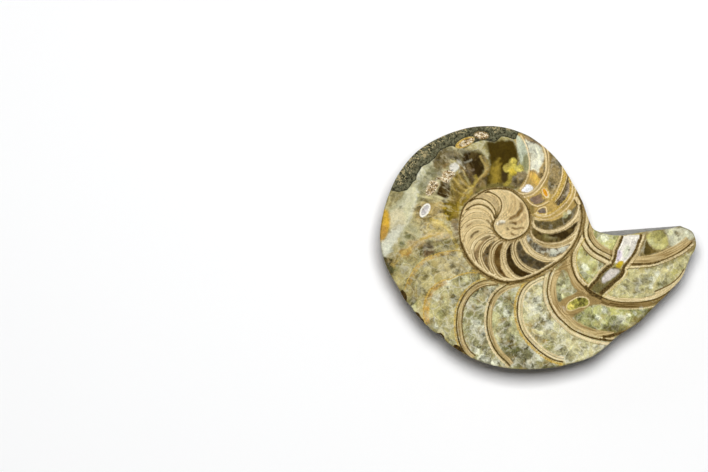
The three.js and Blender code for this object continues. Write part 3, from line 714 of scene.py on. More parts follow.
# Single crystals and stains: their colours, and for each colour where they are and their radius
CRYSTAL_COLOURS = {
    "dark": (72, 64, 32), "green": (104, 104, 56), "grey": (112, 104, 78), "white": (226, 228, 204),
    "pale": (206, 204, 152), "olive": (150, 144, 72), "gold": (196, 158, 58),
}
CRYSTALS = {
    "grey": [(429, 245, 5), (485, 294, 5), (486, 340, 4), (468, 306, 5), (628, 281, 4), (637, 282, 4),
        (645, 280, 3), (556, 238, 3)],
    "green": [(402, 245, 3), (408, 236, 5), (419, 251, 4), (447, 242, 4), (396, 268, 4), (417, 286, 3),
        (413, 303, 5), (441, 314, 6), (444, 324, 5), (471, 316, 5), (469, 330, 4), (507, 292, 5),
        (503, 320, 3), (504, 333, 3), (510, 346, 7), (517, 349, 4), (531, 292, 4), (503, 356, 5),
        (566, 278, 4), (569, 292, 3), (620, 323, 5), (636, 319, 4), (580, 318, 4), (660, 284, 4),
        # The green crystal at (546, 237) is a painted highlight in a dark chamber of the inner coil
        (682, 268, 4), (546, 237, 3)],
    "dark": [(629, 250, 1), (620, 253, 1), (618, 260, 1), (627, 241, 1), (633, 239, 1), (580, 298.5, 2),
        (584, 300, 1.5), (576, 302, 2), (581, 303, 2.2), (585, 303, 2), (577, 305.5, 1.6), (573, 303, 1.5),
        (579, 299.5, 1.6), (571.5, 308, 1.4), (563, 283, 3), (568, 280, 2), (575.5, 291, 1.5),
        (683, 244.5, 1.5), (678, 236, 2), (679, 239, 1.5), (389, 263, 5), (438, 246, 3), (426, 277, 3),
        (424, 290, 3), (453, 296, 3), (482, 286, 4), (514, 289, 4), (525, 347, 5), (522, 365, 4),
        (558, 284, 3), (560, 290, 3), (589, 315, 4), (645, 311, 3), (676, 233, 2)],
    "olive": [(478, 305, 4), (611, 243, 3), (583, 251, 3), (597, 273, 3), (615, 312, 5), (608, 323, 4),
        (610, 291, 4), (674, 273, 4), (548, 345, 5)],
    "pale": [(404, 262, 4), (413, 309, 4), (420, 262, 4), (466, 279, 5), (452, 343, 5), (445, 300, 4),
        (512, 318, 4), (497, 301, 3), (529, 318, 4), (556, 336, 5), (590, 263, 4), (564, 286, 4),
        (562, 296, 4), (630, 325, 4), (624, 279, 4), (571, 348, 5), (562, 322, 4), (540, 345, 4),
        (651, 242, 4), (670, 233, 3), (565, 215, 3)],
    "gold": [(545, 341, 2)],
    "white": [(388, 249, 7), (447, 284, 6), (437, 297, 4), (436, 326, 4), (476, 324, 5), (484, 330, 4),
        (477, 351, 5), (506, 313, 5), (500, 305, 4), (537, 301, 5), (536, 309, 5), (545, 316, 5),
        (482, 360, 5), (494, 364, 4), (530, 362, 5), (540, 357, 4), (605, 238, 4), (585, 267, 4),
        (598, 317, 4), (628, 315, 5), (635, 313, 4), (621, 318, 4), (641, 308, 3), (604, 310, 3),
        (652, 279, 4), (657, 274, 3), (651, 287, 3), (668, 268, 3), (595, 347, 5), (549, 325, 5),
        (687, 232, 4), (569, 212, 3), (543, 252, 3), (553, 253, 4), (562, 249, 3)],
}

# Areas filled with one kind, where "clear" takes all kinds away, and the walls over them
MARKS = [
    ("matrix", [(390.5, 190), (394, 191), (398, 192), (403, 191), (407, 190), (410.5, 186), (413, 182),
        (416, 180), (417, 175), (420, 170), (423, 166), (428, 164), (432, 160.5), (436, 157), (439, 152),
        (442, 149.5), (447, 147.5), (452, 146), (456, 148), (460, 148.5), (466, 148), (472, 144),
        (478, 141.5), (484, 140.5), (491, 141.5), (495, 142), (499, 139), (502, 136.5), (508, 137.5),
        (515, 139.5), (517, 136), (519, 131), (522, 122), (490, 112), (440, 122), (400, 145), (380, 180)]),
    ("gold", ellipse(465, 142.5, 10.5, 4.4, 25)),
    ("speckled", ellipse(466.5, 142.2, 8.5, 3, 25)),
    ("brown", ellipse(481.5, 135.3, 8, 4.3, -5)),
    ("speckled", ellipse(481.5, 135.3, 7, 3.3, -5)),
    ("speckled", AREAS["siphuncle crumbs"][0]),
    ("speckled", AREAS["speckled bead"][0]),
    ("white", ellipse(425, 210.3, 7.8, 4.3, 58)),
    ("clear", ellipse(425, 210.1, 6, 2.7, 58)),
    ("dark", [(401, 290), (405, 292), (407, 297), (406, 302), (400, 300)]),
    ("dark", [(412, 313), (418, 312.5), (421, 317), (424.5, 322), (421, 325), (415, 320)]),
    ("dark", [(430, 331), (436, 333), (441, 333), (444.5, 337), (443, 342), (434, 340)]),
    ("dark", [(454, 344.5), (459, 346), (463.5, 351), (460, 354), (454, 350)]),
    ("gold", ellipse(545.6, 193, 6.8, 3.8, -62)),
    ("cream", ellipse(545.6, 193, 5.8, 2.9, -62)),
    ("orange", ellipse(545.2, 192.5, 4.4, 1.7, -66)),
    ("clear", AREAS["white siphuncle"][0]),
    ("clear", AREAS["second siphuncle"][0]),
    ("clear", AREAS["pocket"][0]),
    ("clear", AREAS["chamber e"][0]),
]
TUBE_WALLS = {
    "siphuncle left": ([(622.5, 236), (621, 240), (619, 245), (616.5, 249.5), (615.8, 254), (615, 258),
        (613.5, 261.5), (612, 265)], [("dark", 0, 2.2), ("cream", 2.5, 2), ("brown", 3.9, 0.6)]),
    "siphuncle right": ([(641, 234.5), (640.5, 238), (638.5, 242), (637, 247), (635, 252), (632, 256.5),
        (629.5, 260), (626.5, 263.5), (624, 267), (622.5, 270)], [("cream", -2.8, 2.6), ("brown", -4.5, 0.6),
        ("dark", 0, 2.2)]),
    "siphuncle top": ([(624, 235.2), (631, 234), (641, 233.2)], [("brown", 0, 1.1)]),
    "second siphuncle left": ([(612, 265), (607, 268), (602.5, 272), (599, 276.5), (596, 281),
        (592.5, 284.5), (590, 288)], [("cream", 2.7, 2), ("dark", 0, 2.8)]),
    "second siphuncle right": ([(623.5, 269.5), (622, 274), (618.5, 278), (614, 281.5), (609.5, 286),
        (605, 290), (600.5, 294)], [("cream", -3, 1.9), ("gold", -4.6, 0.8), ("dark", 0, 3.4)]),
    "second siphuncle tail": ([(585, 286.5), (588, 290), (592, 293.5), (597, 296), (602, 298.5)],
        [("dark", 0, 3.6)]),
    "crack by the rim": ([(600, 339), (606, 339.8), (612, 340.3), (618, 339)], [("dark", 0, 1.6)]),
    "wide crack": ([(603, 336.8), (610, 336), (617, 334), (624, 332), (631, 330)], [("dark", 0, 2.6)]),
}

# The fibres fan out to the left of the coil. Towards the right, the left and the bottom they fade
# in from the first pixel to the second. Their breadth is true this far from the coil's centre.
FIBROUS_RIGHT = (478, 452)
FIBROUS_LEFT = (398, 424)
FIBROUS_BOTTOM = (352, 300)
FIBRE_RADIUS = 22.0


class CutFace:
    """What the cut face's material reads at each vertex, built up area by area and line by line.

    A field holds how far a vertex is outside a kind of line, in pixels, below zero inside it.
    """

    # In the order in which the material lays them over each other
    KINDS = ("tan", "brown", "gold", "cream", "dark", "matrix", "orange", "speckled", "white")
    # The most that a field says, and how far the brown along a dark line goes beyond it, in pixels
    FAR = 12.0
    DARK_EDGE = 0.4
    # How far beyond a line's width its field is worked out, and beyond its last point it goes
    MARGIN, LINE_END = 4.0, 0.2
    # What is there before any area: its colour, and how crystalline and how veiled it is
    START = ((160, 150, 95), 0.5, 0.5)
    # How fine the raggedness of edges is, per pixel, and how much strokes and crystals cover
    RAGGEDNESS = 0.3
    STROKE_COVER, CRYSTAL_COVER = 0.9, 0.62
    CRYSTAL_FACES = 5

    def __init__(self, places):
        self.places = places
        self.fields = {kind: np.full(len(places), self.FAR) for kind in self.KINDS}
        colour, crystal, veil = self.START
        self.fill = np.tile(linear(colour), (len(places), 1))
        self.crystal, self.veil = np.full(len(places), crystal), np.full(len(places), veil)
        self.right, self.along = np.full((2, len(places)), self.FAR)
        self.ragged = np.array([noise.noise((x, y, 0)) for x, y in (places * self.RAGGEDNESS).tolist()])
        # How far round the coil, in millimetres at the fibres, how far out, and how fibrous it is
        x, y = (to_frame(places) / MM - COIL_CENTRE).T
        self.round = FIBRE_RADIUS * np.arctan2(-y, -x)
        self.out = np.hypot(x, y)
        across = smooth_step(*FIBROUS_RIGHT, places[:, 0]) * smooth_step(*FIBROUS_LEFT, places[:, 0])
        self.fibrous = across * smooth_step(*FIBROUS_BOTTOM, places[:, 1])

    def near(self, points, reach):
        """The vertices in the box round some points, widened by reach."""
        low, high = np.min(points, axis=0) - reach, np.max(points, axis=0) + reach
        return np.flatnonzero(np.all((self.places > low) & (self.places < high), axis=1))

    def mark(self, kind, near, field):
        """Draws one kind of line, and takes away there those that the material lays over it.

        The kind "clear" only takes away, and takes away them all.
        """
        above = self.KINDS if kind == "clear" else self.KINDS[self.KINDS.index(kind) + 1:]
        for other in above:
            self.fields[other][near] = np.maximum(self.fields[other][near], -field)
        if kind != "clear":
            self.fields[kind][near] = np.minimum(self.fields[kind][near], field)

    def wall(self, points, layers, closed=False):
        """All the layers of a wall, and where the striations beside it run."""
        curve = smooth_curve(points, closed)
        near = self.near(curve, max(abs(offset) + width for _, offset, width in layers) + self.MARGIN)
        right, along, past = nearest(self.places[near], curve, closed)
        closer = np.abs(right) < np.abs(self.right[near])
        self.right[near] = np.where(closer, right, self.right[near])
        self.along[near] = np.where(closer, along, self.along[near])
        for kind, offset, width in layers:
            field = np.maximum(np.abs(right - offset) - width / 2, past - self.LINE_END)
            if kind == "dark":
                self.mark("brown", near, field - self.DARK_EDGE)
            self.mark(kind, near, field)

    def signed(self, points, reach):
        """The vertices near a closed area, and how far each is outside its edge."""
        loop = smooth_curve(points, closed=True, steps=4)
        near = self.near(loop, reach)
        distance = np.abs(nearest(self.places[near], loop, closed=True)[0])
        return near, np.where(inside(self.places[near], loop), -distance, distance)

    def area(self, kind, points):
        """An area filled with one kind."""
        near, signed = self.signed(points, self.MARGIN)
        self.mark(kind, near, signed)

    def paint(self, points, colour, edge, crystal, veil):
        """An area of mineral with a soft, ragged edge."""
        near, signed = self.signed(points, edge + 2)
        signed = signed + self.ragged[near] * edge * 0.5
        mask = smooth_step(edge / 2, -edge / 2, signed)
        self.fill[near] += (linear(colour) - self.fill[near]) * mask[:, None]
        self.crystal[near] += (crystal - self.crystal[near]) * mask
        self.veil[near] += (veil - self.veil[near]) * mask

    def stroke(self, colour, width, points):
        """A soft vein, with an uneven width."""
        curve = smooth_curve(points)
        near = self.near(curve, width + 2)
        right, _, past = nearest(self.places[near], curve)
        outside = np.maximum(np.abs(right) - width / 2, past) + self.ragged[near] * min(width, 3) * 0.3
        mask = self.STROKE_COVER * smooth_step(0.6 + width / 8, -0.3 - width / 8, outside)
        self.fill[near] += (linear(colour) - self.fill[near]) * mask[:, None]
        self.crystal[near] *= 1 - 0.6 * mask
        self.veil[near] *= 1 - 0.8 * mask

    def crystal_spot(self, x, y, radius, colour):
        """One crystal with soft faces, turned by where it is."""
        near = self.near([(x, y)], radius * 1.5)
        faces = (x * 7 + y * 3) % 6 + np.arange(self.CRYSTAL_FACES) * (2 * math.pi / self.CRYSTAL_FACES)
        reaches = radius * (0.75 + 0.3 * np.sin(faces * self.CRYSTAL_FACES + x))
        out = (self.places[near] - (x, y)) @ np.stack([np.cos(faces), np.sin(faces)])
        distance = np.max(out / reaches, axis=1) + self.ragged[near] * 0.5
        mask = self.CRYSTAL_COVER * smooth_step(1.2, 0.75, distance)
        self.fill[near] += (linear(colour) - self.fill[near]) * mask[:, None]


def draw_face(places):
    """Everything on the cut face, from the lowest to the highest."""
    face = CutFace(places)
    for outline in AREAS.values():
        face.paint(*outline)
    for colour, spots in CRYSTALS.items():
        for x, y, radius in spots:
            face.crystal_spot(x, y, radius, CRYSTAL_COLOURS[colour])
    for stroke in STROKES:
        face.stroke(*stroke)
    face.stroke(RIM_COLOUR, RIM_WIDTH, to_photo(np.array(RIM_POINTS) * MM))
    for points, layers in WALLS.values():
        face.wall(points, layers)
    for kind, outline in MARKS:
        face.area(kind, outline)
    for points, layers in TUBE_WALLS.values():
        face.wall(points, layers)
    face.wall(AREAS["pocket"][0], POCKET_LAYERS, closed=True)
    return face


def reach(points):
    """How far points are from the coil's axis, in millimetres."""
    return np.hypot(*(np.asarray(points)[:, :2] - COIL_CENTRE).T)


def stitch(upper, lower, upper_reach, lower_reach):
    """Triangles between two rows of vertices that run out from the coil, taking the nearer next."""
    faces = []
    a = b = 0
    while a < len(upper) - 1 or b < len(lower) - 1:
        if a == len(upper) - 1 or (b < len(lower) - 1 and lower_reach[b + 1] < upper_reach[a + 1]):
            faces.append((upper[a], lower[b + 1], lower[b]))
            b += 1
        else:
            faces.append((upper[a], upper[a + 1], lower[b]))
            a += 1
    return faces


class Stone:
    """The vertices of the whole stone in millimetres, and its faces, which close one mesh."""

    def __init__(self):
        sections, self.turns, share = coil_sections()
        self.count, self.across = share.shape
        self.positions = [tuple(point) for point in sections.reshape(-1, 3)]
        self.turn_at = list(np.repeat(self.turns, self.across))
        self.share_at = list(share.reshape(-1))
        self.middle = self.add(*COIL_CENTRE, UMBILICUS_HEIGHT, self.turns[0], 0.0)
        edge = smooth_curve(BROKEN_EDGE_POINTS, steps=BROKEN_EDGE_STEPS)[1:-1]
        self.edge = [self.add(x, y, THICKNESS, self.turns[-1], 1.0) for x, y in edge]

    def add(self, x, y, z, turn, share):
        """A new vertex, with its turn about the coil and its share of the way to the rim."""
        self.positions.append((x, y, z))
        self.turn_at.append(turn)
        self.share_at.append(share)
        return len(self.positions) - 1

    def vertex(self, section, step):
        return section * self.across + step

    def outside(self):
        faces = []
        for i in range(1, self.count):
            faces.append((self.middle, self.vertex(i, 0), self.vertex(i - 1, 0)))
            for j in range(self.across - 1):
                corners = (i - 1, j), (i, j), (i, j + 1), (i - 1, j + 1)
                faces.append(tuple(self.vertex(*corner) for corner in corners))
        return faces

    def broken_end(self):
        """Rows from the first section and the cut's edge down to the last section."""
        upper = [self.vertex(0, j) for j in range(self.across)] + self.edge
        lower = [self.vertex(self.count - 1, j) for j in range(self.across - 1)]
        tip = self.vertex(self.count - 1, self.across - 1)
        top, bottom = [np.array([self.positions[v] for v in row]) for row in (upper, lower + [tip])]
        facing = [np.interp(reach(top), reach(bottom), bottom[:, axis]) for axis in range(3)]
        facing = np.stack(facing, axis=-1)
        rows = [upper]
        for row in range(1, END_ROWS):
            down = row / END_ROWS
            points = top + (facing - top) * np.array([down ** END_LEAN, down ** END_LEAN, down])
            rows.append([self.add(*point, self.turns[-1], 1.0) for point in points])
        faces = []
        for above, below in zip(rows, rows[1:]):
            faces.append((self.middle, above[0], below[0]))
            faces += [(above[k], above[k + 1], below[k + 1], below[k]) for k in range(len(above) - 1)]
            faces.append((above[-1], tip, below[-1]))
        last = rows[-1]
        faces.append((self.middle, last[0], lower[0]))
        reaches = [reach([self.positions[v] for v in row]) for row in (last, lower)]
        faces += stitch(last, lower, *reaches)
        faces.append((last[-1], tip, lower[-1]))
        return faces

    def cut_face(self):
        loop = [self.vertex(i, self.across - 1) for i in range(self.count)] + self.edge[::-1]
        found, triangles, origins = face_mesh(to_photo(np.array([self.positions[v][:2] for v in loop]) * MM))
        number = [loop[origin[0]] if origin and origin[0] < len(loop) else None for origin in origins]
        for index, place in enumerate(to_frame(found) / MM):
            if number[index] is None:
                number[index] = self.add(*place, THICKNESS, 0.0, 1.0)
        return [tuple(number[v] for v in triangle) for triangle in triangles]


class Shader:
    """A material whose nodes are added one after another."""

    def __init__(self, name):
        self.material = bpy.data.materials.new(name)
        self.material.use_nodes = True
        self.tree = self.material.node_tree
        self.surface = self.tree.nodes["Principled BSDF"]
        place = self.tree.nodes.new("ShaderNodeTexCoord").outputs["Object"]
        self.place = self.node("VectorMath", {0: place, "Scale": 1 / MM}, operation="SCALE")

    def put(self, socket, value):
        if isinstance(value, bpy.types.NodeSocket):
            self.tree.links.new(value, socket)
        else:
            socket.default_value = value

    def node(self, kind, inputs, output=0, **settings):
        node = self.tree.nodes.new("ShaderNode" + kind)
        for name, value in settings.items():
            setattr(node, name, value)
        for name, value in inputs.items():
            self.put(node.inputs[name], value)
        return node.outputs[output]

    def math(self, operation, a, b=0.0):
        return self.node("Math", {0: a, 1: b}, operation=operation)

    def total(self, values):
        return functools.reduce(functools.partial(self.math, "ADD"), values)

    def product(self, *values):
        return functools.reduce(functools.partial(self.math, "MULTIPLY"), values)

    def step(self, value, low, high, top=1.0):
        """From 0 at low to top at high, with soft ends."""
        inputs = {"Value": value, "From Min": low, "From Max": high, "To Max": top}
        return self.node("MapRange", inputs, interpolation_type="SMOOTHSTEP")

    def scaled(self, value, low, high):
        """A value from 0 to 1 scaled to run from low to high."""
        return self.node("MapRange", {"Value": value, "To Min": low, "To Max": high})

    def mix(self, amount, a, b):
        """Two colours, each a socket or given as 0 to 255 in sRGB, from a at 0 to b at 1."""
        a, b = [(*linear(c), 1.0) if isinstance(c, tuple) else c for c in (a, b)]
        return self.node("Mix", {0: amount, 6: a, 7: b}, 2, data_type="RGBA")

    def lit(self, colour, amount):
        """A colour made brighter or darker."""
        return self.node("VectorMath", {0: colour, "Scale": amount}, operation="SCALE")

    def attribute(self, name, output="Fac"):
        return self.node("Attribute", {}, output, attribute_name=name)

    def noise(self, size, place=None, detail=3.0, roughness=0.55, seed=0.0, output=0):
        """Noise whose lumps are about some millimetres across."""
        inputs = {"Vector": place or self.place, "W": seed, "Scale": 1 / size, "Detail": detail,
                  "Roughness": roughness}
        return self.node("TexNoise", inputs, output, noise_dimensions="4D")

    def cells(self, size, place=None, output=1, seed=0.0, **settings):
        """Cells about some millimetres across: output 0 is the distance, 1 a colour for each."""
        inputs = {"Vector": place or self.place, "Scale": 1 / size, "W": seed}
        return self.node("TexVoronoi", inputs, output, voronoi_dimensions="4D", **settings)

    def tone(self, colour):
        """How bright a cell's own colour is, as one number."""
        return self.node("SeparateColor", {"Color": colour})


# Sizes in millimetres, and half the width of a line's soft edge in photograph pixels
BIG_CRYSTAL, SMALL_CRYSTAL = 3.4, 1.3
LUMP, FIBRE, GRAIN = 2.4, 1.2, 0.55
SOFT_EDGE = 0.35


def cut_face_material():
    """Polished calcite and shell, drawn from the fields at the cut face's vertices."""
    s = Shader("polished_cut_face")
    crystal, veil = s.attribute("crystal"), s.attribute("veil")
    plain = s.math("SUBTRACT", 1.0, crystal)
    shake = s.noise(2.6, detail=2, output=1)
    shake = s.node("VectorMath", {0: shake, 1: (-0.5, -0.5, -0.5)}, operation="ADD")
    shaken = s.node("VectorMath", {0: shake, 1: (2.4, 2.4, 2.4), 2: s.place}, operation="MULTIPLY_ADD")

    # Striations run along the nearest wall
    along = s.math("MULTIPLY", s.attribute("along"), 0.045)
    stripes = s.node("CombineXYZ", {"X": s.attribute("right"), "Y": along})
    stripe = s.step(s.noise(1.5, stripes, detail=3, roughness=0.65), 0.38, 0.62)

    # Calcite: crystals of their own tone, with smaller ones between them, lumps and fine grains
    big, small = s.tone(s.cells(BIG_CRYSTAL, shaken)), s.tone(s.cells(SMALL_CRYSTAL, shaken, seed=3.0))
    lumps = s.noise(LUMP, shaken, detail=4, roughness=0.55, seed=3.0)
    parts = [s.scaled(big, -0.48, 0.48), s.scaled(small, -0.2, 0.2), s.scaled(lumps, -0.95, 0.95)]
    bright = s.math("MULTIPLY", s.total(parts), s.scaled(crystal, 0.15, 1.0))
    line = s.math("MULTIPLY", s.math("SUBTRACT", stripe, 0.5), s.math("MULTIPLY", plain, 0.36))
    grains = s.scaled(s.noise(GRAIN, detail=2, roughness=0.6, seed=9.0), -0.9, 0.9)
    grains = s.math("MULTIPLY", grains, s.scaled(crystal, 0.4, 1.0))

    # Fibres run out from the coil
    fan = s.node("CombineXYZ", {"X": s.attribute("round"), "Y": s.math("MULTIPLY", s.attribute("out"), 0.3)})
    fan = s.node("VectorMath", {0: shake, 1: (1.6, 1.6, 1.6), 2: fan}, operation="MULTIPLY_ADD")
    fibre = s.noise(FIBRE, fan, detail=4, roughness=0.6, seed=17.0)
    fibres = s.math("MULTIPLY", s.scaled(fibre, -0.7, 0.7), s.attribute("fibrous"))

    # The area's colour, made brighter and darker by all of these
    bright = s.total([bright, line, grains, fibres, 1.0])
    colour = s.lit(s.attribute("fill", "Color"), bright)
    colour = s.mix(s.math("MULTIPLY", s.step(lumps, 0.45, 0.33, 0.6), crystal), colour, (88, 76, 38))
    warm = s.step(s.noise(2.6, shaken, seed=12.0), 0.5, 0.66, 0.35)
    colour = s.mix(s.math("MULTIPLY", warm, crystal), colour, (178, 150, 86))

    # White seams between the crystals, and white clouds
    gate = s.step(s.noise(3.2, seed=6.0), 0.42, 0.56)
    seams = s.step(s.cells(BIG_CRYSTAL, shaken, 0, feature="DISTANCE_TO_EDGE"), 0.09, 0.0, 0.8)
    colour = s.mix(s.product(seams, gate, veil), colour, (228, 224, 198))
    fine_seams = s.cells(SMALL_CRYSTAL, shaken, 0, seed=3.0, feature="DISTANCE_TO_EDGE")
    fine_seams = s.step(fine_seams, 0.1, 0.0, 0.3)
    fine_gate = s.step(s.noise(2.4, seed=16.0), 0.48, 0.6)
    colour = s.mix(s.product(fine_seams, fine_gate, veil), colour, (222, 220, 192))
    clouds = s.noise(2.2, shaken, detail=6, roughness=0.7, seed=8.0)
    colour = s.mix(s.product(s.step(clouds, 0.5, 0.64, 0.9), veil), colour, (226, 224, 202))
    wisps = s.product(s.step(fibre, 0.52, 0.66, 0.4), s.attribute("fibrous"))
    colour = s.mix(wisps, colour, (216, 208, 168))

    # Walls and the other kinds of line, with edges that waver
    wobble = s.math("SUBTRACT", s.noise(0.5, detail=2, seed=7.0), 0.5)
    grain = s.step(s.noise(0.45, detail=2, seed=5.0), 0.35, 0.65)
    kinds = {
        "tan": s.mix(stripe, (148, 122, 74), (212, 188, 134)),
        "brown": s.mix(stripe, (84, 64, 26), (150, 126, 76)),
        "gold": s.mix(grain, (168, 132, 46), (222, 192, 106)),
        "cream": s.mix(stripe, (200, 177, 128), (242, 223, 176)),
        "dark": s.mix(grain, (46, 33, 12), (84, 66, 32)),
        "matrix": matrix_colour(s),
        "orange": s.mix(grain, (206, 128, 20), (228, 168, 48)),
        "speckled": speckled_colour(s),
        "white": s.mix(grain, (226, 218, 196), (250, 248, 238)),
    }
    for kind in CutFace.KINDS:
        field = s.math("ADD", s.attribute(kind), wobble)
        colour = s.mix(s.step(field, SOFT_EDGE, -SOFT_EDGE), colour, kinds[kind])
    fine = s.math("SUBTRACT", s.noise(0.4, detail=2, roughness=0.7, seed=10.0), 0.5)
    fine = s.math("ADD", s.math("MULTIPLY", fine, s.scaled(crystal, 0.5, 1.1)), 1.0)
    colour = s.lit(colour, fine)
    s.put(s.surface.inputs["Base Color"], colour)
    s.put(s.surface.inputs["Roughness"], s.scaled(s.noise(6.0), 0.05, 0.1))
    s.surface.inputs["IOR"].default_value = 1.45
    return s.material


def matrix_colour(s):
    """Dark gritty rock, with pale grains in its outer half and a dark edge along the calcite."""
    rock = s.step(s.noise(0.75, detail=4, roughness=0.75, seed=2.0), 0.36, 0.64)
    rock = s.mix(rock, (30, 29, 18), (116, 115, 88))
    outer = s.step(s.attribute("matrix"), -5.5, -8.0)
    pale = s.product(s.step(s.tone(s.cells(0.45)), 0.6, 0.72), s.scaled(outer, 0.12, 1.0))
    rock = s.mix(pale, rock, (168, 154, 112))
    return s.mix(s.step(s.attribute("matrix"), -1.6, -0.6, 0.8), rock, (46, 46, 34))


def speckled_colour(s):
    """White and brown grains in the broken siphuncle and the beads."""
    base = s.mix(s.step(s.noise(0.9, detail=3, seed=14.0), 0.4, 0.6), (150, 122, 76), (206, 184, 142))
    base = s.mix(s.step(s.tone(s.cells(0.42, seed=2.0)), 0.6, 0.8), base, (236, 226, 198))
    return s.mix(s.step(s.tone(s.cells(0.42, seed=4.0)), 0.76, 0.9), base, (104, 82, 50))


def outside_material():
    """The worn and polished outside: brown shell over grey rock, with suture lines."""
    s = Shader("worn_outside")
    phase, share = s.attribute("suture"), s.attribute("share")
    patches = s.step(s.noise(14.0, detail=5, roughness=0.6), 0.42, 0.58)
    shell = s.mix(s.noise(3.0, detail=4, seed=1.0), (122, 98, 64), (178, 152, 108))
    rock = s.mix(s.noise(2.0, detail=5, seed=2.0), (78, 72, 58), (134, 128, 108))
    colour = s.mix(patches, shell, rock)
    growth = s.node("CombineXYZ", {"X": s.attribute("turn"), "Y": s.math("MULTIPLY", share, 2.0)})
    growth = s.noise(0.6, growth, detail=2)
    colour = s.lit(colour, s.scaled(growth, 0.78, 1.22))
    gap = s.math("ABSOLUTE", s.math("SUBTRACT", s.math("FRACT", phase), 0.5))
    colour = s.mix(s.step(gap, 0.035, 0.018, 0.8), colour, (58, 44, 26))
    navel = s.step(share, 0.2, 0.08)
    colour = s.mix(navel, colour, (62, 56, 44))
    s.put(s.surface.inputs["Base Color"], colour)
    s.put(s.surface.inputs["Roughness"], s.scaled(s.noise(5.0), 0.22, 0.5))
    height = s.math("ADD", growth, s.noise(0.8, detail=3))
    bump = s.node("Bump", {"Height": height, "Strength": 0.25, "Distance": 0.2 * MM})
    s.put(s.surface.inputs["Normal"], bump)
    return s.material


def broken_end_material():
    """Rough grey rock where the open end broke off."""
    s = Shader("broken_end")
    colour = s.mix(s.noise(1.6, detail=5, seed=4.0), (112, 110, 100), (176, 174, 166))
    colour = s.mix(s.step(s.tone(s.cells(0.8)), 0.8, 0.9, 0.6), colour, (82, 78, 66))
    s.put(s.surface.inputs["Base Color"], colour)
    s.surface.inputs["Roughness"].default_value = 0.6
    bump = s.node("Bump", {"Height": s.noise(0.7, detail=4), "Strength": 0.6, "Distance": 0.3 * MM})
    s.put(s.surface.inputs["Normal"], bump)
    return s.material


# The turns about the coil's centre, in degrees, where the chamber walls reach the rim
SUTURE_TURNS = [-4, 12, 29, 37, 46, 66, 79, 95, 112, 130, 148, 166, 183, 199, 214, 234, 256, 272, 295,
                312, 345]
# How far each bows on its way to the rim, in degrees
SUTURE_BOW = 7.0


def add_object(name, data):
    thing = bpy.data.objects.new(name, data)
    bpy.context.scene.collection.objects.link(thing)
    return thing


def set_attribute(mesh, name, values):
    """Stores a number or a colour for each vertex."""
    if values.ndim == 1:
        mesh.attributes.new(name, "FLOAT", "POINT").data.foreach_set("value", values)
    else:
        colours = np.concatenate([values, np.ones((len(values), 1))], axis=1)
        mesh.attributes.new(name, "FLOAT_COLOR", "POINT").data.foreach_set("color", colours.reshape(-1))


def sharpen_between(mesh, parts):
    """Makes the edges sharp where two parts meet, given each face's part."""
    corners = np.zeros(len(mesh.loops), int)
    mesh.loops.foreach_get("edge_index", corners)
    sizes = np.zeros(len(mesh.polygons), int)
    mesh.polygons.foreach_get("loop_total", sizes)
    of_corner = np.repeat(parts, sizes)
    least, most = np.full(len(mesh.edges), parts.max()), np.full(len(mesh.edges), parts.min())
    np.minimum.at(least, corners, of_corner)
    np.maximum.at(most, corners, of_corner)
    mesh.attributes.new("sharp_edge", "BOOLEAN", "EDGE").data.foreach_set("value", least != most)


def store_drawing(mesh, positions, face):
    """What the cut face's material reads, at the face's own vertices, and nothing elsewhere."""
    used = np.unique(np.array(face))
    drawn = draw_face(to_photo(positions[used, :2] * MM))
    names = ("crystal", "veil", "right", "along", "fill", "fibrous", "round", "out")
    values = {**drawn.fields, **{name: getattr(drawn, name) for name in names}}
    for name, found in values.items():
        whole = np.zeros((len(positions), *found.shape[1:]))
        whole[used] = found
        set_attribute(mesh, name, whole)


def make_stone():
    built = Stone()
    outside, end, face = built.outside(), built.broken_end(), built.cut_face()
    positions, turn, share = [np.array(values) for values in (built.positions, built.turn_at, built.share_at)]
    mesh = bpy.data.meshes.new("nautilus_stone")
    mesh.from_pydata((positions * MM).tolist(), [], outside + end + face)
    parts = np.repeat([1, 2, 0], [len(outside), len(end), len(face)])
    mesh.polygons.foreach_set("material_index", parts)
    mesh.shade_smooth()
    sharpen_between(mesh, parts)
    store_drawing(mesh, positions, face)
    set_attribute(mesh, "turn", turn)
    set_attribute(mesh, "share", share)
    bowed = turn + SUTURE_BOW * np.sin(math.pi * share)
    set_attribute(mesh, "suture", np.interp(bowed, SUTURE_TURNS, np.arange(len(SUTURE_TURNS)) + 0.5))
    for material in (cut_face_material(), outside_material(), broken_end_material()):
        mesh.materials.append(material)
    mesh.validate()
    return add_object("nautilus_stone", mesh)


# Stage, light and camera
FLOOR_HALF = 1.5
CAMERA_LENS, SENSOR = 400.0, 36.0
# Lights: where each is, its size and power, and whether the polish mirrors it
LIGHTS = [
    ((0.0, 0.13, 1.0), 0.22, 9.9, False),
    ((-0.9, 0.5, 0.7), 0.5, 0.6, True),
]
# The light from all round, and what is left of it straight above, where the polish would mirror it
WORLD_COLOUR = (0.9, 0.96, 1.0, 1.0)
WORLD_STRENGTH, TOP_STRENGTH = 0.08, 0.03
TOP_START, TOP_END = 0.85, 0.96


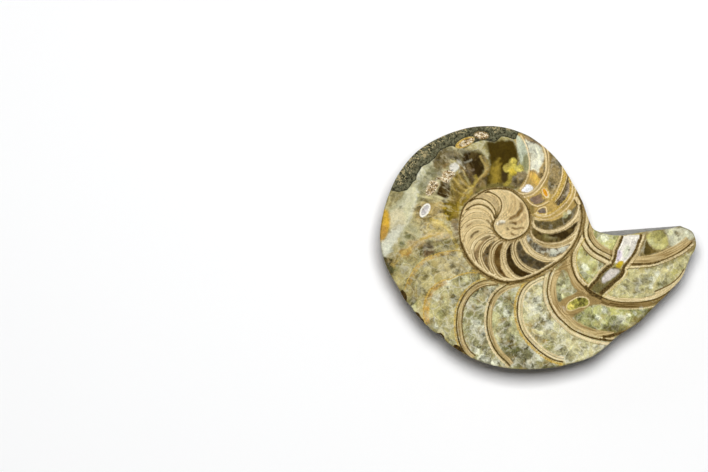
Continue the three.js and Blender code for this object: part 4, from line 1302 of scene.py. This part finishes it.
def make_floor():
    mesh = bpy.data.meshes.new("floor")
    corners = [(x, y, 0.0) for x, y in ((-1, -1), (1, -1), (1, 1), (-1, 1))]
    mesh.from_pydata([tuple(FLOOR_HALF * c for c in corner) for corner in corners], [], [(0, 1, 2, 3)])
    floor = add_object("floor", mesh)
    s = Shader("pale_floor")
    s.put(s.surface.inputs["Base Color"], s.mix(s.noise(200.0), (250, 250, 250), (253, 253, 253)))
    s.surface.inputs["Roughness"].default_value = 0.9
    s.surface.inputs["Specular IOR Level"].default_value = 0.0
    mesh.materials.append(s.material)


def make_lights():
    for place, size, power, mirrored in LIGHTS:
        data = bpy.data.lights.new("soft_box", "AREA")
        data.size = size
        data.energy = power
        light = add_object("soft_box", data)
        light.location = place
        light.visible_glossy = mirrored
        light.rotation_euler = (-Vector(place)).to_track_quat("-Z", "Y").to_euler()


def make_world():
    world = bpy.data.worlds.new("studio")
    world.use_nodes = True
    nodes, links = world.node_tree.nodes, world.node_tree.links
    background = nodes["Background"]
    background.inputs["Color"].default_value = WORLD_COLOUR
    toward = nodes.new("ShaderNodeSeparateXYZ")
    fade = nodes.new("ShaderNodeMapRange")
    links.new(nodes.new("ShaderNodeTexCoord").outputs["Generated"], toward.inputs[0])
    links.new(toward.outputs["Z"], fade.inputs["Value"])
    values = {"From Min": TOP_START, "From Max": TOP_END, "To Min": WORLD_STRENGTH, "To Max": TOP_STRENGTH}
    for name, value in values.items():
        fade.inputs[name].default_value = value
    links.new(fade.outputs[0], background.inputs["Strength"])
    bpy.context.scene.world = world
    bpy.context.scene.view_settings.view_transform = "Standard"


def make_camera():
    """Straight above the middle of the photograph, as high as gives its scale on the cut face."""
    x, y = to_frame(PHOTO_MIDDLE)
    height = HIGH.z + PHOTO_WIDTH * PIXEL * CAMERA_LENS / SENSOR
    data = bpy.data.cameras.new("camera")
    data.lens = CAMERA_LENS
    data.sensor_width = SENSOR
    data.clip_start = 0.01
    camera = add_object("camera", data)
    camera.location = (x, y, height)
    bpy.context.scene.camera = camera


make_camera()
make_lights()
make_world()
make_floor()
stone = make_stone()
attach(stone, "root")
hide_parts(NODE)
